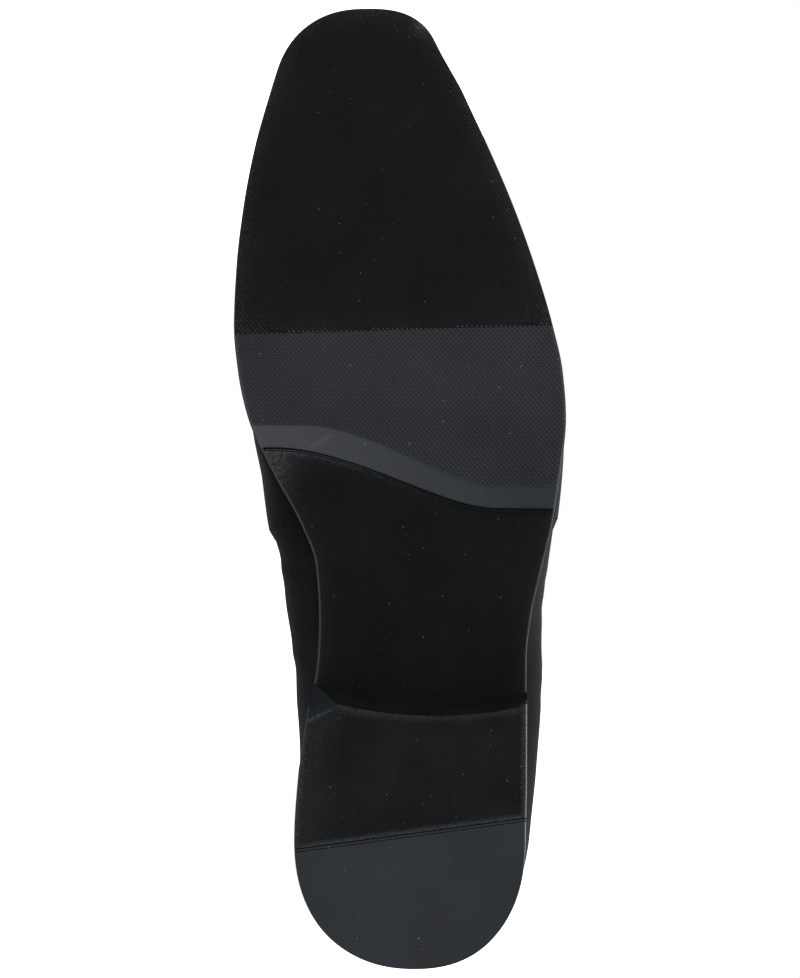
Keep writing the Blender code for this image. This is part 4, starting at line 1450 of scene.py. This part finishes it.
def velvet_material(name, colour):
    """Velvet with a short nap that lies in soft patches."""
    shader = Shader(name)
    place = shader.place()
    patches = shader.noise(place, 0.028)
    brushed = {"Vector": place, "Rotation": (0.3, 0.2, 0.35), "Scale": (0.05, 0.17, 0.12)}
    strokes = shader.noise(shader.node("ShaderNodeMapping", brushed).outputs["Vector"], 1.0, 4.0, 0.6)
    nap = shader.noise(place, 2.4, 3.0, 0.7)
    both = shader.times(strokes, 0.45, shader.times(patches, 0.55))
    base = shader.vary(both, 0.41, 0.59, colour, 0.35, 1.5)
    base = shader.mix(shader.spread(nap, 0.60, 0.78, 0.0, 0.5), base, shade(colour, 4.0))
    lie = shader.bump(both, 0.0016, 0.35)
    shader.set(
        Base_Color=base,
        Roughness=0.92,
        Specular_IOR_Level=0.05,
        Sheen_Weight=0.058,
        Sheen_Roughness=0.32,
        Sheen_Tint=(0.54, 0.60, 0.68, 1.0),
        Normal=shader.bump(nap, 0.0002, 0.5, lie),
    )
    return shader.material


def ribbon_material(name, colour):
    """Ribbed ribbon with a faint silk shine."""
    shader = Shader(name)
    threads = shader.noise(shader.place(), 3.5, 2.0, 0.6)
    shader.set(
        Base_Color=shader.vary(threads, 0.35, 0.65, colour, 0.5, 1.5),
        Roughness=0.5,
        Specular_IOR_Level=0.16,
        Sheen_Weight=0.04,
        Sheen_Roughness=0.4,
        Normal=shader.bump(threads, 0.00008, 0.5),
    )
    return shader.material


def thread_material(name, colour):
    """Twisted sewing thread."""
    shader = Shader(name)
    inputs = {"Vector": shader.place(), "Scale": 3.0, "Distortion": 1.0}
    twist = shader.node("ShaderNodeTexWave", inputs, bands_direction="DIAGONAL").outputs["Fac"]
    shader.set(
        Base_Color=shader.mix(twist, shade(colour, 0.6), shade(colour, 1.5)),
        Roughness=0.7,
        Specular_IOR_Level=0.05,
        Normal=shader.bump(twist, 0.00005, 0.6),
    )
    return shader.material


def leather_material(name, colour, roughness, grain_size):
    """Smooth leather with fine pores and a pebbled grain."""
    shader = Shader(name)
    place = shader.place()
    patches = shader.noise(place, 0.03, 3.0, 0.55)
    inputs = {"Vector": place, "Scale": 1 / grain_size}
    cells = shader.node("ShaderNodeTexVoronoi", inputs, feature="DISTANCE_TO_EDGE")
    pebble = shader.spread(cells.outputs["Distance"], 0.0, 0.25)
    pores = shader.noise(place, 3.0, 2.0, 0.6)
    base = shader.vary(patches, 0.35, 0.65, colour, 0.75, 1.25)
    base = shader.mix(shader.fading(pebble, 0.0, 1.0, 0.45), base, shade(colour, 0.4))
    shader.set(
        Base_Color=base,
        Roughness=shader.spread(pores, 0.3, 0.7, roughness - 0.07, roughness + 0.07),
        Specular_IOR_Level=0.3,
        Normal=shader.bump(shader.times(pores, 0.3, pebble), 0.00010, 0.5),
    )
    return shader.material


def soft_box(name, watts):
    """Large soft light from the table of lights."""
    place, target, side = LIGHTS[name]
    data = bpy.data.lights.new(name, "AREA")
    data.shape = "RECTANGLE"
    data.size = side
    data.size_y = side
    data.energy = watts
    obj = add_object(name, data)
    obj.location = place
    obj.rotation_euler = (Vector(target) - obj.location).to_track_quat("-Z", "Y").to_euler()


def make_camera():
    """Camera at the photograph's angle."""
    data = bpy.data.cameras.new("camera")
    data.sensor_fit = "VERTICAL"
    data.sensor_height = 36.0
    data.lens = bpy.context.scene.loafer_stage.lens
    data.clip_start = 0.01
    data.clip_end = 50.0
    obj = add_object("camera", data)
    toward = Vector((
        math.sin(CAMERA_AZIMUTH) * math.cos(CAMERA_ELEVATION),
        -math.cos(CAMERA_AZIMUTH) * math.cos(CAMERA_ELEVATION),
        math.sin(CAMERA_ELEVATION),
    ))
    level_right = (-toward).cross(Vector((0, 0, 1))).normalized()
    level_up = level_right.cross(-toward)
    right = level_right * math.cos(CAMERA_ROLL) - level_up * math.sin(CAMERA_ROLL)
    up = level_right * math.sin(CAMERA_ROLL) + level_up * math.cos(CAMERA_ROLL)
    place = CAMERA_TARGET + right * CAMERA_SLIDE_RIGHT + up * CAMERA_SLIDE_UP + toward * CAMERA_DISTANCE
    axes = Matrix((right, up, toward)).transposed().to_4x4()
    obj.matrix_world = Matrix.Translation(place) @ axes
    bpy.context.scene.camera = obj


def make_floor():
    """Plain pale floor."""
    bm = bmesh.new()
    bmesh.ops.create_grid(bm, x_segments=2, y_segments=2, size=bpy.context.scene.loafer_stage.floor_size / 2)
    mesh = bpy.data.meshes.new("floor")
    bm.to_mesh(mesh)
    bm.free()
    shader = Shader("pale floor")
    shader.set(Base_Color=(0.9, 0.9, 0.9), Roughness=0.9, Specular_IOR_Level=0.0)
    shader.set(Emission_Color=(1.0, 1.0, 1.0), Emission_Strength=1.0)
    mesh.materials.append(shader.material)
    obj = add_object("floor", mesh)


def colour_property(name, description, default):
    """A colour that can be chosen."""
    return bpy.props.FloatVectorProperty(name=name, description=description, default=default, size=3,
                                         subtype="COLOR", min=0.0, max=1.0)


class LoaferStage(bpy.types.PropertyGroup):
    lens: bpy.props.FloatProperty(name="Lens", description="Focal length of the camera, in millimetres",
                                  default=129.8, min=20.0, max=400.0)
    floor_size: bpy.props.FloatProperty(name="Floor", description="Side of the square floor", default=12.0,
                                        unit="LENGTH")
    world_light: bpy.props.FloatProperty(name="Sky", description="Brightness of the white surroundings",
                                         default=1.0, min=0.0)
    key_watts: bpy.props.FloatProperty(name="Key", description="Power of the soft light at the toe's side",
                                       default=22.0, unit="POWER")
    fill_watts: bpy.props.FloatProperty(name="Fill", description="Power of the soft light facing the sole",
                                        default=6.0, unit="POWER")
    back_watts: bpy.props.FloatProperty(name="Back", default=13.0, unit="POWER",
                                        description="Power of the soft light above the instep's side")


class LoaferSizes(bpy.types.PropertyGroup):
    stud_across: bpy.props.FloatProperty(name="Stud pitch across", default=0.0015, min=0.0008, unit="LENGTH",
                                         precision=5, description="Step of the knurl across the sole")
    stud_along: bpy.props.FloatProperty(name="Stud pitch along", default=0.0016, min=0.0008, unit="LENGTH",
                                        precision=5, description="Step of the knurl along the sole")
    stud_height: bpy.props.FloatProperty(name="Stud height", description="Height of the knurl on bare rubber",
                                         default=0.00034, min=0.0001, max=0.0005, unit="LENGTH", precision=5)
    rib_pitch: bpy.props.FloatProperty(name="Rib pitch", default=0.0009, min=0.0006, unit="LENGTH",
                                       precision=5, description="Step of the ribs along the collar's ribbon")
    stitch_pitch: bpy.props.FloatProperty(name="Stitch pitch", description="Step from one stitch to the next",
                                          default=0.0027, min=0.001, unit="LENGTH", precision=5)
    stitch_length: bpy.props.FloatProperty(name="Stitch length", description="Length of one stitch",
                                           default=0.0022, min=0.0008, unit="LENGTH", precision=5)
    stitch_thick: bpy.props.FloatProperty(name="Stitch thickness", description="Thickness of the thread",
                                          default=0.0004, min=0.0001, unit="LENGTH", precision=5)


class LoaferColours(bpy.types.PropertyGroup):
    flock: colour_property("Flock", "Forepart, waist and breast of the heel", (0.0019, 0.0023, 0.0021))
    lift: colour_property("Lift flock", "Flock on the top lift", (0.0028, 0.0033, 0.0036))
    rubber: colour_property("Smooth rubber", "Band and heel tip", (0.0028, 0.0045, 0.0066))
    studs: colour_property("Studs", "Tops of the knurl", (0.0100, 0.0108, 0.0138))
    # The ground is darker than the studs' tops: painted shade between the studs.
    ground: colour_property("Ground", "Rubber between the studs", (0.0052, 0.0058, 0.0074))
    edge: colour_property("Edge rubber", "Outsole and heel block", (0.0012, 0.0014, 0.0017))
    # Besides real wear and the band's scratches, worn rubber is the colour of painted light: the band's lighter
    # inner side, the light line on the waist's low edge, the rib's lighter top and the glint on the heel tip's
    # outer rim.
    worn: colour_property("Worn rubber", "Rubber where it is rubbed light", (0.0370, 0.0400, 0.0470))
    velvet: colour_property("Velvet", "Quarters and vamp", (0.0011, 0.0013, 0.0017))
    ribbon: colour_property("Ribbon", "Ribbed ribbon round the collar", (0.0038, 0.0041, 0.0047))
    lining: colour_property("Lining", "Leather inside the upper", (0.0130, 0.0130, 0.0140))
    sock: colour_property("Sock", "Leather over the insole", (0.0160, 0.0160, 0.0170))
    thread: colour_property("Thread", "Stitches of the upper", (0.0020, 0.0021, 0.0024))


def chosen(name):
    """A colour as it is chosen, by name."""
    return tuple(getattr(bpy.context.scene.loafer_colours, name))


def flock():
    """Black flock of the forepart and the waist."""
    return material_once(flock_material, "black flock", chosen("flock"), WORN_FLOCK)


def smooth_rubber():
    """Blue-grey rubber of the band and the tip."""
    return material_once(rubber_material, "smooth rubber", chosen("rubber"), chosen("worn"), 0.5, 0.16, True)


def edge_rubber():
    """Black rubber of the outsole and the heel block."""
    return material_once(rubber_material, "black rubber", chosen("edge"), chosen("worn"), 0.5, 0.09)


class LOAFER_OT_stage(bpy.types.Operator):
    """Makes the floor, the soft lights and the camera"""

    bl_idname = "loafer.stage"
    bl_label = "Make stage"

    def execute(self, context):
        stage = context.scene.loafer_stage
        context.scene.view_settings.view_transform = "Standard"
        world = bpy.data.worlds.new("white surroundings")
        world.use_nodes = True
        background = world.node_tree.nodes["Background"]
        background.inputs["Color"].default_value = (1.0, 1.0, 1.0, 1.0)
        background.inputs["Strength"].default_value = stage.world_light
        context.scene.world = world
        make_floor()
        soft_box("key", stage.key_watts)
        soft_box("fill", stage.fill_watts)
        soft_box("back", stage.back_watts)
        make_camera()
        return {"FINISHED"}


class LOAFER_OT_outsole(bpy.types.Operator):
    """Makes the outsole, the thin rib on its waist, and a matt sheet of painted shade in the groove behind the
    tread
    """

    bl_idname = "loafer.outsole"
    bl_label = "Make outsole"

    def execute(self, context):
        make_outsole(edge_rubber())
        make_waist_rib(edge_rubber())
        edge = chosen("edge")
        # The groove's floor is a matt rubber with almost no reflection, so it reads dark: painted shade below
        # the tread's rear step.
        make_groove_shade(rubber_material("groove floor", shade(edge, 2.2), edge, 0.8, 0.02))
        return {"FINISHED"}


class LOAFER_OT_tread(bpy.types.Operator):
    """Makes the forepart tread with its band, its knurl and its flock"""

    bl_idname = "loafer.tread"
    bl_label = "Make tread"

    def execute(self, context):
        # The knurl's ground is darker than its studs: painted shade between them.
        ground = rubber_material("knurl ground", chosen("ground"), shade(chosen("ground"), 2.5), 0.65, 0.14)
        studs = rubber_material("knurl studs", chosen("studs"), chosen("worn"), 0.6, 0.20)
        make_tread(smooth_rubber(), ground)
        make_tread_flock(flock())
        make_knurl(studs, flock())
        return {"FINISHED"}


class LOAFER_OT_waist(bpy.types.Operator):
    """Makes the flock on the waist"""

    bl_idname = "loafer.waist"
    bl_label = "Make waist flock"

    def execute(self, context):
        make_waist_flock(flock())
        return {"FINISHED"}


class LOAFER_OT_heel(bpy.types.Operator):
    """Makes the heel block, the top lift and the tip"""

    bl_idname = "loafer.heel"
    bl_label = "Make heel"

    def execute(self, context):
        matt = {"specular": 0.0, "sheen": 0.0}
        # The lift's flock carries painted highlights along its edges and the painted glint along its outer rim.
        lift = flock_material("grey flock", chosen("lift"), LIFT_HIGHLIGHT, 0.5, lift_highlight_mask)
        # Painted shade: the breast flock is a copy with no reflection and no sheen, so the breast, which sits in
        # shade under the waist, stays nearly black.
        breast = flock_material("breast flock", shade(chosen("flock"), 1.9), WORN_BREAST, 0.2, **matt)
        corner = flock_material("corner flock", shade(chosen("lift"), 2.4), WORN_CORNER, 0.3, **matt)
        # Painted glint: lighter rubber for the low outer bevel of the top lift and the tip, where a light
        # catches the edge.
        rubbed = rubber_material("rubbed rubber", shade(chosen("edge"), 3.0), RIM_GLINT, 0.4, 0.25)
        make_heel(edge_rubber(), breast, corner, lift, smooth_rubber(), rubbed)
        return {"FINISHED"}


class LOAFER_OT_upper(bpy.types.Operator):
    """Makes the velvet quarters and vamp"""

    bl_idname = "loafer.upper"
    bl_label = "Make velvet"

    def execute(self, context):
        make_upper(velvet_material("velvet", chosen("velvet")), UpperForm.shared())
        return {"FINISHED"}


class LOAFER_OT_ribbon(bpy.types.Operator):
    """Makes the ribbed ribbon round the collar"""

    bl_idname = "loafer.ribbon"
    bl_label = "Make ribbon"

    def execute(self, context):
        make_ribbon(ribbon_material("ribbon", chosen("ribbon")), UpperForm.shared())
        return {"FINISHED"}


class LOAFER_OT_stitches(bpy.types.Operator):
    """Makes the rows of stitches on the upper"""

    bl_idname = "loafer.stitches"
    bl_label = "Make stitches"

    def execute(self, context):
        make_stitches(thread_material("thread", chosen("thread")), UpperForm.shared())
        return {"FINISHED"}


class LOAFER_OT_inside(bpy.types.Operator):
    """Makes the lining and the sock"""

    bl_idname = "loafer.inside"
    bl_label = "Make lining and sock"

    def execute(self, context):
        make_lining(leather_material("lining leather", chosen("lining"), 0.5, 0.9), UpperForm.shared())
        make_sock(leather_material("sock leather", chosen("sock"), 0.45, 1.2))
        return {"FINISHED"}


PIECE_OPERATORS = (LOAFER_OT_outsole, LOAFER_OT_tread, LOAFER_OT_waist, LOAFER_OT_heel, LOAFER_OT_upper,
                   LOAFER_OT_ribbon, LOAFER_OT_stitches, LOAFER_OT_inside)


class LOAFER_PT_panel(bpy.types.Panel):
    """Lists the loafer's sizes, colours and pieces"""

    bl_idname = "LOAFER_PT_panel"
    bl_label = "Velvet Loafer"
    bl_space_type = "VIEW_3D"
    bl_region_type = "UI"
    bl_category = "Loafer"

    def draw(self, context):
        layout = self.layout
        for title, group in (("Stage", context.scene.loafer_stage), ("Sizes", context.scene.loafer_sizes),
                             ("Colours", context.scene.loafer_colours)):
            box = layout.box()
            box.label(text=title)
            for name in group.__annotations__:
                box.prop(group, name)
        for item in (LOAFER_OT_stage, *PIECE_OPERATORS):
            layout.operator(item.bl_idname)


GROUPS = {"loafer_stage": LoaferStage, "loafer_sizes": LoaferSizes, "loafer_colours": LoaferColours}
CLASSES = (*GROUPS.values(), LOAFER_OT_stage, *PIECE_OPERATORS, LOAFER_PT_panel)


def register():
    for item in CLASSES:
        bpy.utils.register_class(item)
    for name, group in GROUPS.items():
        setattr(bpy.types.Scene, name, bpy.props.PointerProperty(type=group))


def unregister():
    for name in GROUPS:
        delattr(bpy.types.Scene, name)
    for item in reversed(CLASSES):
        bpy.utils.unregister_class(item)


def main():
    register()
    bpy.ops.loafer.stage()
    bpy.ops.loafer.outsole()
    bpy.ops.loafer.tread()
    bpy.ops.loafer.waist()
    bpy.ops.loafer.heel()
    bpy.ops.loafer.upper()
    bpy.ops.loafer.ribbon()
    bpy.ops.loafer.stitches()
    bpy.ops.loafer.inside()


if __name__ == "__main__":
    main()
